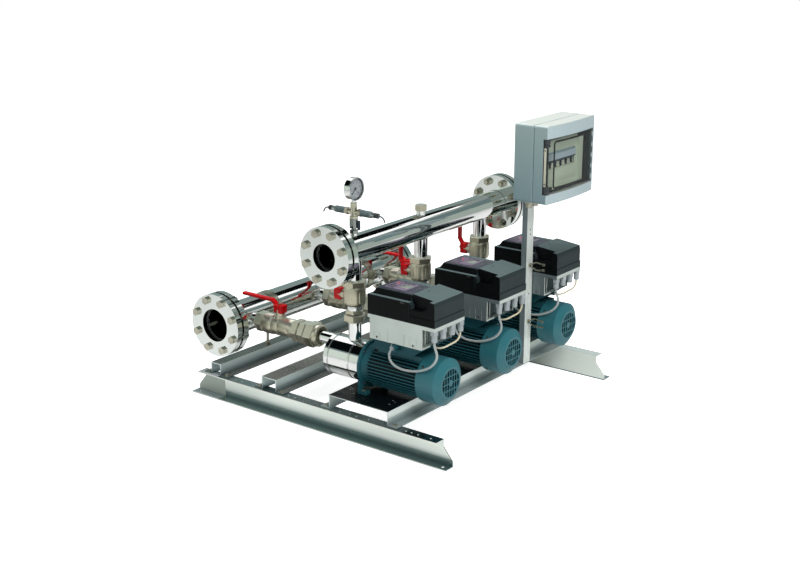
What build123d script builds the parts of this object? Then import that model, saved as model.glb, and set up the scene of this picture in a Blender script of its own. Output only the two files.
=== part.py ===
from build123d import *
import os
from math import atan2, cos, degrees, pi, radians, sin, sqrt, tan

os.makedirs("parts", exist_ok=True)

# A booster pump set: three horizontal multistage pumps stand side by side on a base frame and lift
# water from a suction manifold to a delivery manifold. X runs along the pump shafts towards the fans,
# Y along the manifolds, Z up. The origin is on the floor, midway between the rails and their ends.

# Base rails: channels whose webs face each other and whose flanges point outward
rail_length = 1095.0
rail_height = 85.0
rail_flange = 42.0
rail_sheet = 4.0
rail_end_slope = 35.0
rail_end_top = 24.0
rail_end_bottom = 19.0
anchor_hole_radius = 6.5
anchor_inset = 22.0
spare_hole_radius = 3.5
spare_hole_x = (-349.0, -320.0, -104.0, -78.0, 116.0, 157.0, 185.0, 234.0, 383.0, 405.0, 430.0, 479.0)

# Cross members: hat profiles that lie on the rails with their feet turned outward
member_length = 997.0
member_bearing = 29.5
member_sheet = 3.0
member_foot = 32.0
suction_member_width = 46.0
suction_member_height = 43.0
middle_member_x = -188.0
middle_member_width = 64.0
middle_member_height = 45.0
platform_start = 75.0
platform_end = 317.0
platform_height = 49.0
platform_foot = 35.0

# Frame bolts
frame_bolt_radius = 4.0
frame_bolt_hole_radius = 4.5
frame_bolt_head = 13.0
frame_bolt_head_height = 5.5
frame_bolt_end_inset = 14.0

# Pumps
pump_count = 3
pump_pitch = 358.0
shaft_height = 220.0
delivery_x = 72.0
suction_x = -436.0
suction_height = 264.0
delivery_height = 592.0
casing_radius = 68.0
casing_wall = 3.0
casing_front = -15.0
casing_rear = 143.0
shaft_radius = 8.45
shaft_start = -5.0
stage_count = 3
stage_pitch = 36.0
stage_first = 22.0
stage_sheet = 3.0
stage_eye = 20.0
impeller_radius = 58.0
impeller_hub = 13.0
impeller_length = 18.0
seal_radius = 16.0
seal_width = 12.0
stub_radius = 21.2
stub_wall = 2.6

# Motors
flange_radius = 80.0
flange_thickness = 10.0
body_radius = 62.0
body_bore = 56.0
fin_radius = 71.0
fin_thickness = 3.2
fin_count = 40
fin_start = 176.0
body_end = 381.0
foot_offset = 63.0
foot_width = 24.0
foot_length = 34.0
foot_pad_height = 10.0
bearing_outer = 20.0
bearing_inner = 8.5
bearing_width = 12.0
stator_start = 214.0
stator_length = 110.0
stator_bore = 38.0
air_gap = 0.5

# Fan and its cowl
cowl_radius = 77.0
cowl_wall = 2.5
cowl_rim = 441.0
cowl_face = 457.0
cowl_face_radius = 52.0
grille_radius = 45.0
grille_bar = 3.0
grille_rib = 2.6
grille_columns = 7
grille_boss = 13.0
fan_start = 398.0
fan_width = 22.0
fan_radius = 64.0
fan_hub_radius = 17.0
fan_blades = 6
fan_blade_sheet = 3.0

# Terminal box, inverter
terminal_start = 200.0
terminal_end = 398.0
terminal_half_width = 58.0
terminal_low = 296.0
inverter_base = 337.0
heatsink_end = 401.0
heatsink_step = 390.0
inverter_start = 190.0
inverter_end = 450.0
inverter_half_width = 79.5
rim_low = 405.0
cover_low = 417.0
cover_shoulder = 482.0
hump_rise = 19.0
cap_start = 352.0
cap_rise = 23.0

# Pipes and valves
suction_pipe_radius = 57.15
suction_pipe_wall = 3.0
delivery_pipe_radius = 44.45
delivery_pipe_wall = 2.6
branch_radius = 24.15
branch_wall = 2.6

# Flanges
flange_face_gap = 3.0
collar_thickness = 6.0
suction_flange_radius = 110.0
suction_flange_thickness = 22.0
suction_bolt_circle = 90.0
suction_half_length = 495.5
suction_collar_radius = 79.0
delivery_collar_radius = 69.0
manifold_step = 10.9
delivery_flange_radius = 100.0
delivery_flange_thickness = 20.0
delivery_bolt_circle = 80.0
flange_hole_radius = 9.0
flange_bolt_radius = 8.0
flange_bolt_count = 8
flange_bolt_head = 24.0
flange_bolt_head_height = 10.0
flange_nut_height = 13.0
flange_bolt_tail = 7.0

pump_rows = [(index - (pump_count - 1) / 2) * pump_pitch for index in range(pump_count)]
platform_top = rail_height + platform_height
cover_top = cover_shoulder + hump_rise
cap_top = cover_shoulder + cap_rise
rail_web_gap = member_length - 2 * member_bearing
delivery_half_length = suction_half_length + manifold_step
rail_outer = rail_web_gap / 2 + rail_flange


def save(name, solids):
    """Write one node as a group of its solids."""
    shape = solids[0] if len(solids) == 1 else Compound(children=solids)
    export_step(shape, f"parts/{name}.step")


def single(shape):
    """The one solid that a boolean leaves."""
    found = shape.solids()
    if len(found) != 1:
        raise ValueError(f"{len(found)} solids where one was meant")
    return found[0]


def block(x_range, y_range, z_range):
    """A box between two values on each axis."""
    corner = Plane(origin=(x_range[0], y_range[0], z_range[0]))
    size = [high - low for low, high in (x_range, y_range, z_range)]
    return Solid.make_box(*size, corner)


def rod(start, direction, radius, length):
    """A cylinder from a point along a direction."""
    return Solid.make_cylinder(radius, length, Plane(origin=start, z_dir=direction))


def ring(start, direction, outer, inner, length):
    """A tube from a point along a direction."""
    tool = rod(start, direction, inner, length)
    return single(rod(start, direction, outer, length) - tool)


def hexagon(start, direction, across, length):
    """A hexagonal prism from a point along a direction."""
    profile = Plane(origin=start, z_dir=direction) * RegularPolygon(across / 2, 6, major_radius=False)
    return single(extrude(profile, length))


def nut_shape(start, direction, across, length):
    """A hexagonal prism whose corners are turned off at both ends."""
    face = across / 2 + 0.3
    corner = across / sqrt(3) + 0.2
    chamfer = (corner - face) * tan(radians(30))
    outline = [(0, 0), (0, face), (chamfer, corner), (length - chamfer, corner), (length, face), (length, 0)]
    return single(hexagon(start, direction, across, length).intersect(turned(outline, start, direction)))


def turned(points, start, direction):
    """A revolved solid from points given as (distance along the direction, radius)."""
    outline = Polyline(*[(radius, along) for along, radius in points], close=True)
    body = revolve(Plane.XZ * make_face(outline), Axis.Z)
    return single(Plane(origin=start, z_dir=direction) * body)


def moved(solids, x=0.0, y=0.0, z=0.0):
    """Copies of some solids shifted by a vector."""
    return [solid.moved(Location((x, y, z))) for solid in solids]


def in_rows(solids):
    """One copy of some solids for each pump."""
    return [copy for row in pump_rows for copy in moved(solids, y=row)]


# Frame

anchor_y = rail_web_gap / 2 + rail_sheet + (rail_flange - rail_sheet) / 2
anchor_x = rail_length / 2 - anchor_inset
bolt_y = member_length / 2 - frame_bolt_end_inset
members = [
    (suction_x - suction_member_width / 2, suction_x + suction_member_width / 2, member_foot),
    (middle_member_x - middle_member_width / 2, middle_member_x + middle_member_width / 2, member_foot),
    (platform_start, platform_end, platform_foot),
]
foot_bolt_x = [x for start, end, foot in members for x in (start - foot / 2, end + foot / 2)]


def base_rails():
    """Two channels with slanted ends; the far one mirrors the near one."""
    half = rail_length / 2
    top_half = half - rail_end_slope
    web_side = [
        (half, 0),
        (half, rail_end_bottom),
        (top_half, rail_height - rail_end_top),
        (top_half, rail_height),
    ]
    web_outline = web_side + [(-x, z) for x, z in reversed(web_side)]
    web_plane = Plane.XZ.offset(rail_web_gap / 2)
    web = extrude(web_plane * make_face(Polyline(*web_outline, close=True)), rail_sheet)
    y_range = (-rail_outer, -rail_web_gap / 2)
    rail = web + block((-top_half, top_half), y_range, (rail_height - rail_sheet, rail_height))
    rail = rail + block((-half, half), y_range, (0, rail_sheet))
    for x in foot_bolt_x:
        rail = rail - rod((x, -bolt_y, rail_height / 2), (0, 0, 1), frame_bolt_hole_radius, rail_height)
    for x in spare_hole_x:
        rail = rail - rod((x, -anchor_y, rail_height / 2), (0, 0, 1), spare_hole_radius, rail_height)
    for x in (-anchor_x, anchor_x):
        rail = rail - rod((x, -anchor_y, 0), (0, 0, 1), anchor_hole_radius, rail_height / 2)
    near = single(rail)
    return [near, near.mirror(Plane.XZ)]


def member(start, end, foot, height):
    """A hat profile along Y with its feet on the rails."""
    low = rail_height
    high = rail_height + height
    sheet = member_sheet
    outline = Polyline(
        (start - foot, low), (start + sheet, low), (start + sheet, high - sheet),
        (end - sheet, high - sheet), (end - sheet, low), (end + foot, low),
        (end + foot, low + sheet), (end, low + sheet), (end, high),
        (start, high), (start, low + sheet), (start - foot, low + sheet), close=True)
    body = extrude(Plane.XZ * make_face(outline), member_length / 2, both=True)
    for x in (start - foot / 2, end + foot / 2):
        for y in (-bolt_y, bolt_y):
            body = body - rod((x, y, low), (0, 0, 1), frame_bolt_hole_radius, height)
    return single(body)


clamp_rows = (-236.0, 290.0)
clamp_rod_radius = 5.0
clamp_band = 3.0
clamp_width = 30.0
clamp_clearance = 0.2


def cross_members():
    suction = member(*members[0], suction_member_height)
    for y in clamp_rows:
        hole_start = (suction_x, y, rail_height)
        suction = suction - rod(hole_start, (0, 0, 1), clamp_rod_radius, 2 * suction_member_height)
    return [single(suction), member(*members[1], middle_member_height)]


post_x = (331.0, 352.0)
post_y = 255.0
post_width = 41.0
post_wall = 2.5
post_top = 905.0
post_bolt_x = 340.0
post_hole_heights = (342.0, 556.0, 572.0)
post_hole_radius = 3.0
motor_foot_x = 159.0
foot_bolt_points = [(motor_foot_x, row + side * foot_offset) for row in pump_rows for side in (-1, 1)]
platform_hole_radius = 2.5
platform_holes = ((90.0, 46.0), (100.0, 60.0), (103.0, 52.0), (132.0, 84.0), (271.0, 55.0), (284.0, 61.0), (281.0, 86.0))


def pump_platform():
    body = member(*members[2], platform_height)
    for x, y in foot_bolt_points:
        hole_start = (x, y, rail_height + platform_height / 2)
        body = body - rod(hole_start, (0, 0, 1), frame_bolt_hole_radius, platform_height)
    for x, offset in platform_holes:
        for y in [row + side * offset for row in pump_rows for side in (-1, 1)]:
            body = body - rod((x, y, platform_top - 20), (0, 0, 1), platform_hole_radius, 40)
    post_hole = rod((post_bolt_x, post_y, 0), (0, 0, 1), frame_bolt_hole_radius, platform_top - 20)
    return [single(body - post_hole)]


def panel_post():
    """A channel that stands on the platform's foot and is open at its back."""
    y_range = (post_y - post_width / 2, post_y + post_width / 2)
    low = rail_height + member_sheet
    outer = block(post_x, y_range, (low, post_top))
    inner_y = (y_range[0] + post_wall, y_range[1] - post_wall)
    post = outer - block((post_x[0] - 1, post_x[1] - post_wall), inner_y, (low + post_wall, post_top + 1))
    post = post - rod((post_bolt_x, post_y, low - 1), (0, 0, 1), frame_bolt_hole_radius, 2 * post_wall)
    for z in post_hole_heights:
        post = post - rod((post_x[1] - 5, post_y, z), (1, 0, 0), post_hole_radius, 10)
    return [single(post)]


def bolt_through(x, y, top, bottom):
    """A hex bolt whose head rests at the top, drawn with the nut that closes the stack from below."""
    nut_low = bottom - frame_bolt_head_height
    head = hexagon((x, y, top), (0, 0, 1), frame_bolt_head, frame_bolt_head_height)
    nut = hexagon((x, y, nut_low), (0, 0, 1), frame_bolt_head, frame_bolt_head_height)
    return [single(head + rod((x, y, nut_low), (0, 0, 1), frame_bolt_radius, top - nut_low) + nut)]


def frame_bolts():
    solids = []
    for x in foot_bolt_x:
        for y in (-bolt_y, bolt_y):
            solids += bolt_through(x, y, rail_height + member_sheet, rail_height - rail_sheet)
    for x, y in foot_bolt_points:
        solids += bolt_through(x, y, platform_top + foot_pad_height, platform_top - member_sheet)
    solids += bolt_through(post_bolt_x, post_y, rail_height + member_sheet + post_wall, rail_height)
    return solids


hook_heights = (241.0, 446.0)
hook_wire = 2.5
hook_reach = 58.0
hook_spread = 14.0
hook_ball = 4.5
hook_base_radius = 7.0
hook_base_depth = 5.0


def wire(start, end, radius):
    """A straight round wire between two points."""
    way = Vector(*end) - Vector(*start)
    return rod(start, way.normalized(), radius, way.length)


def cable_hooks():
    """Two hooks on the post, each a pair of bent wires on one base."""
    solids = []
    for height in hook_heights:
        hook = rod((post_x[1], post_y, height), (1, 0, 0), hook_base_radius, hook_base_depth)
        for side in (-1, 1):
            start = (post_x[1] + hook_base_depth - 2, post_y, height + side * 2)
            bend = (post_x[1] + 0.5 * hook_reach, post_y, height + side * hook_spread)
            tip = (post_x[1] + hook_reach, post_y, height + side * 0.7 * hook_spread)
            end = rod((tip[0] - hook_ball, tip[1], tip[2]), (1, 0, 0), hook_ball, 2 * hook_ball)
            hook = hook + wire(start, bend, hook_wire) + wire(bend, tip, hook_wire) + end
        solids.append(single(hook))
    return solids


save("base_rails", base_rails())
save("cross_members", cross_members())
save("pump_platform", pump_platform())
save("panel_post", panel_post())
save("frame_bolts", frame_bolts())
save("cable_hooks", cable_hooks())


# Manifolds and their flanges

flange_bolt_angles = [(index + 0.5) * 360 / flange_bolt_count for index in range(flange_bolt_count)]
socket_clearance = 0.2
valve_socket_depth = 10.0
boss_rise = 6.0
gauge_boss_radius = 12.0
gauge_stub_radius = 8.0
plug_boss_radius = 16.0
plug_boss_rise = 12.0


class Line:
    """The sizes of one manifold and of the flanges at its two ends."""

    def __init__(self, x, z, radius, wall, half, flange, thickness, circle, collar):
        self.x = x
        self.z = z
        self.radius = radius
        self.wall = wall
        self.half = half
        self.flange = flange
        self.thickness = thickness
        self.circle = circle
        self.collar = collar
        self.collar_end = half - thickness - flange_face_gap
        self.backing_end = self.collar_end - collar_thickness

    def bolt_points(self):
        spots = []
        for angle in flange_bolt_angles:
            turn = radians(angle)
            spots.append((self.x + self.circle * cos(turn), self.z + self.circle * sin(turn)))
        return spots


suction_line = Line(
    suction_x, suction_height, suction_pipe_radius, suction_pipe_wall, suction_half_length,
    suction_flange_radius, suction_flange_thickness, suction_bolt_circle, suction_collar_radius,
)
delivery_line = Line(
    delivery_x, delivery_height, delivery_pipe_radius, delivery_pipe_wall, delivery_half_length,
    delivery_flange_radius, delivery_flange_thickness, delivery_bolt_circle, delivery_collar_radius,
)

valve_inlet = -352.0
valve_socket_end = valve_inlet + valve_socket_depth
delivery_valve_top = 475.0


def manifold(line, direction, branch_length):
    """A pipe along Y with a collar at each end and one branch for each pump."""
    pipe = rod((line.x, -line.collar_end, line.z), (0, 1, 0), line.radius, 2 * line.collar_end)
    for side in (-1, 1):
        face = (line.x, side * line.collar_end, line.z)
        pipe = pipe + rod(face, (0, -side, 0), line.collar, collar_thickness)
    for row in pump_rows:
        pipe = pipe + rod((line.x, row, line.z), direction, branch_radius, branch_length)
    for row in pump_rows:
        pipe = pipe - rod((line.x, row, line.z), direction, branch_radius - branch_wall, branch_length)
    return pipe


def opened(pipe, line):
    """The pipe with its long bore cut through."""
    bore = rod((line.x, -line.half, line.z), (0, 1, 0), line.radius - line.wall, 2 * line.half)
    return single(pipe - bore)


def suction_manifold():
    pipe = manifold(suction_line, (1, 0, 0), valve_socket_end - suction_x)
    return [opened(pipe, suction_line)]


def delivery_manifold():
    pipe = manifold(delivery_line, (0, 0, -1), delivery_height - delivery_valve_top + valve_socket_depth)
    top = delivery_height + delivery_pipe_radius
    axis_points = [(pump_rows[0], gauge_boss_radius, boss_rise, gauge_stub_radius),
                   (0.0, plug_boss_radius, plug_boss_rise, plug_boss_radius - 3)]
    for y, outer, rise, inner in axis_points:
        start = (delivery_x, y, delivery_height)
        length = top + rise - delivery_height
        pipe = pipe + rod(start, (0, 0, 1), outer, length)
        pipe = pipe - rod(start, (0, 0, 1), inner, length)
    return [opened(pipe, delivery_line)]


def drilled(line, start, direction, inner):
    """A flange ring with its bolt holes."""
    flange = rod(start, direction, line.flange, line.thickness) - rod(start, direction, inner, line.thickness)
    for x, z in line.bolt_points():
        flange = flange - rod((x, start[1], z), direction, flange_hole_radius, line.thickness)
    return single(flange)


def pipe_flanges():
    """Counterflanges for the installer's pipes, and loose backing flanges behind the collars."""
    solids = []
    for line in (suction_line, delivery_line):
        for side in (-1, 1):
            outer_face = (line.x, side * line.half, line.z)
            backing_face = (line.x, side * line.backing_end, line.z)
            solids.append(drilled(line, outer_face, (0, -side, 0), line.radius + 0.5))
            solids.append(drilled(line, backing_face, (0, -side, 0), line.radius + 1.0))
    return solids


def flange_gaskets():
    solids = []
    for line in (suction_line, delivery_line):
        inner = line.radius - line.wall
        for side in (-1, 1):
            face = (line.x, side * (line.half - line.thickness), line.z)
            outer = line.circle - flange_hole_radius - 2
            solids.append(ring(face, (0, -side, 0), outer, inner, flange_face_gap))
    return solids


def flange_bolts():
    """Hex bolts, each drawn with its nut behind the backing flange."""
    solids = []
    for line in (suction_line, delivery_line):
        inner_face = line.backing_end - line.thickness
        length = line.half - inner_face + flange_nut_height + flange_bolt_tail
        for side in (-1, 1):
            for x, z in line.bolt_points():
                start = (x, side * line.half, z)
                inward = (0, -side, 0)
                head = hexagon(start, (0, side, 0), flange_bolt_head, flange_bolt_head_height)
                nut = hexagon((x, side * inner_face, z), inward, flange_bolt_head, flange_nut_height)
                solids.append(single(head + rod(start, inward, flange_bolt_radius, length) + nut))
    return solids


def pipe_clamps():
    """Two pipe clamps, each on a threaded rod that stands on the suction cross member."""
    solids = []
    member_top = rail_height + suction_member_height
    inner = suction_pipe_radius + clamp_clearance
    outer = inner + clamp_band
    for y in clamp_rows:
        start = (suction_x, y - clamp_width / 2, suction_height)
        band = rod(start, (0, 1, 0), outer, clamp_width)
        lug_y = (y - clamp_width / 2, y + clamp_width / 2)
        lug_z = (suction_height - 5, suction_height + 5)
        band = band + block((suction_x - outer - 15, suction_x + outer + 15), lug_y, lug_z)
        band = band + rod((suction_x, y, suction_height), (0, 0, -1), 10, outer + 14)
        band = band - rod(start, (0, 1, 0), inner, clamp_width)
        low = suction_height - outer - 14
        solids.append(single(band))
        rod_low = member_top - 18
        solids.append(rod((suction_x, y, rod_low), (0, 0, 1), clamp_rod_radius, low - rod_low))
        for z, turn in ((member_top, 1), (member_top - member_sheet, -1)):
            nut = hexagon((suction_x, y, z), (0, 0, turn), 17, 9)
            solids.append(single(nut - rod((suction_x, y, z), (0, 0, turn), clamp_rod_radius, 9)))
    return solids


plug_across = 38.0
plug_height = 20.0


def brass_plugs():
    """The hex cap over the delivery manifold's spare boss, and a plug in each check valve."""
    top = delivery_height + delivery_pipe_radius + plug_boss_rise
    cap = nut_shape((delivery_x, 0, top), (0, 0, 1), plug_across, plug_height)
    stem_length = plug_boss_rise - 2
    cap = cap + rod((delivery_x, 0, top), (0, 0, -1), plug_boss_radius - 3 - socket_clearance, stem_length)
    solids = [single(cap)]
    for row in pump_rows:
        start = (check_plug_x, row - check_radius + 4, suction_height)
        solids.append(hexagon(start, (0, -1, 0), 12, 10))
    return solids


# Ball valves, check valves and unions

ball_radius = 27.0
ball_clearance = 0.4
port_radius = 18.5
barrel_radius = 36.0
valve_hex = 63.0
stem_radius = 6.0
stem_clearance = 0.3
bonnet_radius = 14.0
bonnet_end = 58.0
suction_ball_x = -257.0
barrel_start = -327.0
barrel_end = -224.0
check_radius = 33.0
check_end = -172.0
check_collar_end = -153.0
check_collar_hex = 68.0
check_chamber = 26.0
check_chamber_start = -218.0
check_chamber_end = -176.0
check_plug_x = -200.0
union_start = -147.0
union_neck_radius = 29.0


def suction_valve_body():
    """A ball valve and a check valve in one line, along +X."""
    axis = (1, 0, 0)
    z = suction_height
    body = nut_shape((valve_inlet, 0, z), axis, valve_hex, barrel_start - valve_inlet + 4)
    barrel = [
        (0, 0), (0, barrel_radius - 5), (6, barrel_radius - 2), (14, barrel_radius),
        (barrel_end - barrel_start - 22, barrel_radius), (barrel_end - barrel_start - 14, barrel_radius - 3),
        (barrel_end - barrel_start, barrel_radius - 3), (barrel_end - barrel_start, 0),
    ]
    body = body + turned(barrel, (barrel_start, 0, z), axis)
    body = body + rod((barrel_end, 0, z), axis, check_radius, check_end - barrel_end)
    body = body + ring((barrel_end + 3, 0, z), axis, check_radius + 2, check_radius - 1, 7)
    body = body + nut_shape((check_end, 0, z), axis, check_collar_hex, check_collar_end - check_end)
    plug_boss = rod((check_plug_x, -check_radius + 6, z), (0, -1, 0), 10, 9)
    body = body + plug_boss
    body = body + rod((check_collar_end, 0, z), axis, union_neck_radius, union_start - check_collar_end)
    body = body + rod((suction_ball_x, 0, z), (0, 0, 1), bonnet_radius, bonnet_end)
    body = body - rod((valve_inlet, 0, z), axis, branch_radius + socket_clearance, valve_socket_depth)
    body = body - rod((valve_inlet, 0, z), axis, port_radius, union_start - valve_inlet)
    body = body - Sphere(ball_radius + ball_clearance).moved(Location((suction_ball_x, 0, z)))
    body = body - rod((suction_ball_x, 0, z), (0, 0, 1), stem_radius + stem_clearance, bonnet_end)
    chamber_length = check_chamber_end - check_chamber_start
    body = body - rod((check_chamber_start, 0, z), axis, check_chamber, chamber_length)
    body = body - rod((check_plug_x, -check_radius + 4, z), (0, -1, 0), 7, 16)
    body = body + spider()
    return single(body)


guide_radius = 4.0
guide_wall = 3.0
guide_length = 8.0
disc_radius = 23.0
disc_thickness = 4.0
disc_travel = 10.0
disc_seat_gap = 0.1


def spider():
    """The bridge that guides the check disc's stem."""
    z = suction_height
    start = check_chamber_end - guide_length
    reach = check_chamber + 2
    bridge = block((start, start + 4), (-reach, reach), (z - 3, z + 3))
    bush = rod((start, 0, z), (1, 0, 0), guide_radius + guide_wall, guide_length)
    hole = rod((start, 0, z), (1, 0, 0), guide_radius + stem_clearance, guide_length)
    return bridge + bush - hole


def check_disc():
    """A disc on a guide stem, which lifts off its seat along +X."""
    z = suction_height
    start = check_chamber_start + disc_seat_gap
    disc = rod((start, 0, z), (1, 0, 0), disc_radius, disc_thickness)
    stem_end = check_chamber_end - disc_travel - 1
    return single(disc + rod((start, 0, z), (1, 0, 0), guide_radius, stem_end + guide_length - start))


delivery_ball_z = 431.0
delivery_barrel = (404.0, 461.0)
lower_hex = (363.0, 388.0)
lower_hex_across = 56.0
delivery_neck_radius = 24.5
delivery_union_low = 338.0
rib_count = 8
rib_rise = 1.0


def delivery_valve_body():
    """The ball valve on one riser, with its stem towards -X."""
    x = delivery_x
    up = (0, 0, 1)
    low = lower_hex[0]
    body = nut_shape((x, 0, low), up, lower_hex_across, lower_hex[1] - low)
    body = body + rod((x, 0, lower_hex[1]), up, delivery_neck_radius, delivery_barrel[0] - lower_hex[1])
    barrel_length = delivery_barrel[1] - delivery_barrel[0]
    barrel = [
        (0, 0), (0, barrel_radius - 4), (4, barrel_radius - 1), (8, barrel_radius),
        (barrel_length - 6, barrel_radius), (barrel_length, barrel_radius - 3), (barrel_length, 0),
    ]
    body = body + turned(barrel, (x, 0, delivery_barrel[0]), up)
    for index in range(rib_count):
        rib = block((barrel_radius - 2, barrel_radius + rib_rise), (-2.5, 2.5), (10, barrel_length - 8))
        rib = rib.rotate(Axis.Z, (index + 0.5) * 360 / rib_count)
        body = body + rib.moved(Location((x, 0, delivery_barrel[0])))
    hex_length = delivery_valve_top - delivery_barrel[1] + 4
    body = body + nut_shape((x, 0, delivery_valve_top - hex_length), up, valve_hex, hex_length)
    body = body + rod((x, 0, delivery_ball_z), (-1, 0, 0), bonnet_radius, bonnet_end)
    socket_radius = branch_radius + socket_clearance
    body = body - rod((x, 0, delivery_valve_top), (0, 0, -1), socket_radius, valve_socket_depth)
    body = body - rod((x, 0, low), up, port_radius, delivery_valve_top - low)
    body = body - Sphere(ball_radius + ball_clearance).moved(Location((x, 0, delivery_ball_z)))
    body = body - rod((x, 0, delivery_ball_z), (-1, 0, 0), stem_radius + stem_clearance, bonnet_end)
    return single(body)


hub_length = 38.0
hub_width = 32.0
hub_height = 18.0
hub_rounding = 4.0
lever_nut_height = 7.0
lever_nut_across = 13.0
lever_length = 171.0
lever_rise = 86.0
lever_crank = 34.0
lever_thickness = 11.0
lever_width = 18.0
lever_rounding = 4.0


def valve_lever():
    """Lever, nut, and ball with stem, drawn about the origin: stem along Z, lever towards -X."""
    ball = Sphere(ball_radius) - rod((-ball_radius, 0, 0), (1, 0, 0), port_radius, 2 * ball_radius)
    stem_end = bonnet_end + hub_height + lever_nut_height + 2
    stem = rod((0, 0, port_radius + 2), (0, 0, 1), stem_radius, stem_end - port_radius - 2)
    ball = single(ball + stem)
    half = lever_thickness / 2
    side = (-lever_width / 2, lever_width / 2)
    low = bonnet_end + hub_height - half
    grip = block((-lever_length, half - lever_crank), side, (lever_rise - half, lever_rise + half))
    grip = fillet(grip.edges(), lever_rounding)
    crank_rise = lever_rise - low
    crank_run = lever_crank - hub_length / 4
    crank_length = sqrt(crank_rise ** 2 + crank_run ** 2)
    crank = block((-half, crank_length + half), side, (-half, half))
    crank = fillet(crank.edges(), lever_rounding).rotate(Axis.Y, degrees(atan2(crank_rise, crank_run)) - 180)
    crank = crank.moved(Location((-hub_length / 4, 0, low)))
    hub_low = bonnet_end
    hub = block((-hub_length / 2, hub_length / 2), (-hub_width / 2, hub_width / 2), (hub_low, hub_low + hub_height))
    hub = fillet(hub.edges(), hub_rounding)
    arm = grip + crank
    bore = rod((0, 0, bonnet_end), (0, 0, 1), stem_radius, hub_height)
    nut_start = (0, 0, bonnet_end + hub_height)
    nut = hexagon(nut_start, (0, 0, 1), lever_nut_across, lever_nut_height)
    nut = nut - rod(nut_start, (0, 0, 1), stem_radius, lever_nut_height)
    return [single(arm + hub - bore), ball, single(nut)]


def suction_lever(row):
    spot = Location((suction_ball_x, row, suction_height))
    return [solid.moved(spot) for solid in valve_lever()]


def delivery_lever(row):
    """The same lever, tipped so that its stem points to -X and its arm up."""
    spot = Plane(origin=(delivery_x, row, delivery_ball_z), x_dir=(0, 0, -1), z_dir=(-1, 0, 0)).location
    return [solid.moved(spot) for solid in valve_lever()]


def suction_union():
    """The big union nut between the check valve and the pump's inlet stub."""
    z = suction_height
    nut = turned([(0, 0), (0, 31), (57, 31), (57, 37), (70, 37), (75, 33), (75, 0)],
                 (union_start, 0, z), (1, 0, 0))
    nut = nut + nut_shape((union_start, 0, z), (1, 0, 0), 72, 28)
    nut = nut + nut_shape((union_start + 31, 0, z), (1, 0, 0), 78, 28)
    nut = nut - rod((union_start, 0, z), (1, 0, 0), stub_radius + socket_clearance, 75)
    return single(nut - rod((union_start + 63, 0, z), (1, 0, 0), 30, 12))


def delivery_union():
    """The union nut under one delivery valve."""
    start = (delivery_x, 0, delivery_union_low)
    nut = nut_shape(start, (0, 0, 1), 66, lower_hex[0] - delivery_union_low)
    return single(nut - rod(start, (0, 0, 1), stub_radius + socket_clearance, 60))


save("suction_manifold", suction_manifold())
save("delivery_manifold", delivery_manifold())
save("pipe_flanges", pipe_flanges())
save("flange_gaskets", flange_gaskets())
save("flange_bolts", flange_bolts())
save("pipe_clamps", pipe_clamps())
save("brass_plugs", brass_plugs())
save("suction_valve_bodies", in_rows([suction_valve_body()]))
save("delivery_valve_bodies", in_rows([delivery_valve_body()]))
save("pump_unions", in_rows([suction_union(), delivery_union()]))
for number, row in enumerate(pump_rows, start=1):
    save(f"suction_lever_{number}", suction_lever(row))
    save(f"delivery_lever_{number}", delivery_lever(row))
    save(f"check_disc_{number}", moved([check_disc()], y=row))


# Pumps and motors

body_start = 172.0
front_bearing = 160.0
rear_collar = 8.0
coil_length = 18.0
coil_outer = 53.0
coil_inner = 42.0
seal_gap = 0.4
fan_shaft_end = 424.0
saddle_half_width = 38.0
adapter_rise = 9.0
fin_gap_angle = 33.0


def pump_casing():
    """The sheet casing of one pump with its stage walls, stubs and rear wall in one welded body."""
    r = casing_radius
    start = casing_front
    rear = casing_rear
    outer = [(start, 0), (start, r - 6), (start + 6, r), (5, r), (6, r - 1.5), (9, r - 1.5), (10, r),
             (91, r), (92, r - 1.5), (95, r - 1.5), (96, r), (rear, r), (rear, 0)]
    body = turned(outer, (0, 0, shaft_height), (1, 0, 0))
    length = casing_front - union_start
    body = body + rod((union_start, 0, suction_height), (1, 0, 0), stub_radius, length + 6)
    top = lower_hex[0]
    stub_low = shaft_height + r - 6
    body = body + rod((delivery_x, 0, stub_low), (0, 0, 1), stub_radius, top - stub_low)
    inner_radius = r - casing_wall
    comb = [(start + casing_wall, 0), (start + casing_wall, inner_radius - 6)]
    comb += [(start + casing_wall + 6, inner_radius)]
    for index in range(stage_count - 1):
        wall = stage_first + impeller_length + 6 + index * stage_pitch
        comb += [(wall, inner_radius), (wall, stage_eye), (wall + stage_sheet, stage_eye)]
        comb += [(wall + stage_sheet, inner_radius)]
    rear_wall = rear - seal_width
    comb += [(rear_wall, inner_radius), (rear_wall, seal_radius), (rear, seal_radius), (rear, 0)]
    body = body - turned(comb, (0, 0, shaft_height), (1, 0, 0))
    bore = stub_radius - stub_wall
    body = body - rod((union_start, 0, suction_height), (1, 0, 0), bore, length + 10)
    low = shaft_height + r - 12
    return single(body - rod((delivery_x, 0, low), (0, 0, 1), bore, top - low))


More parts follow.
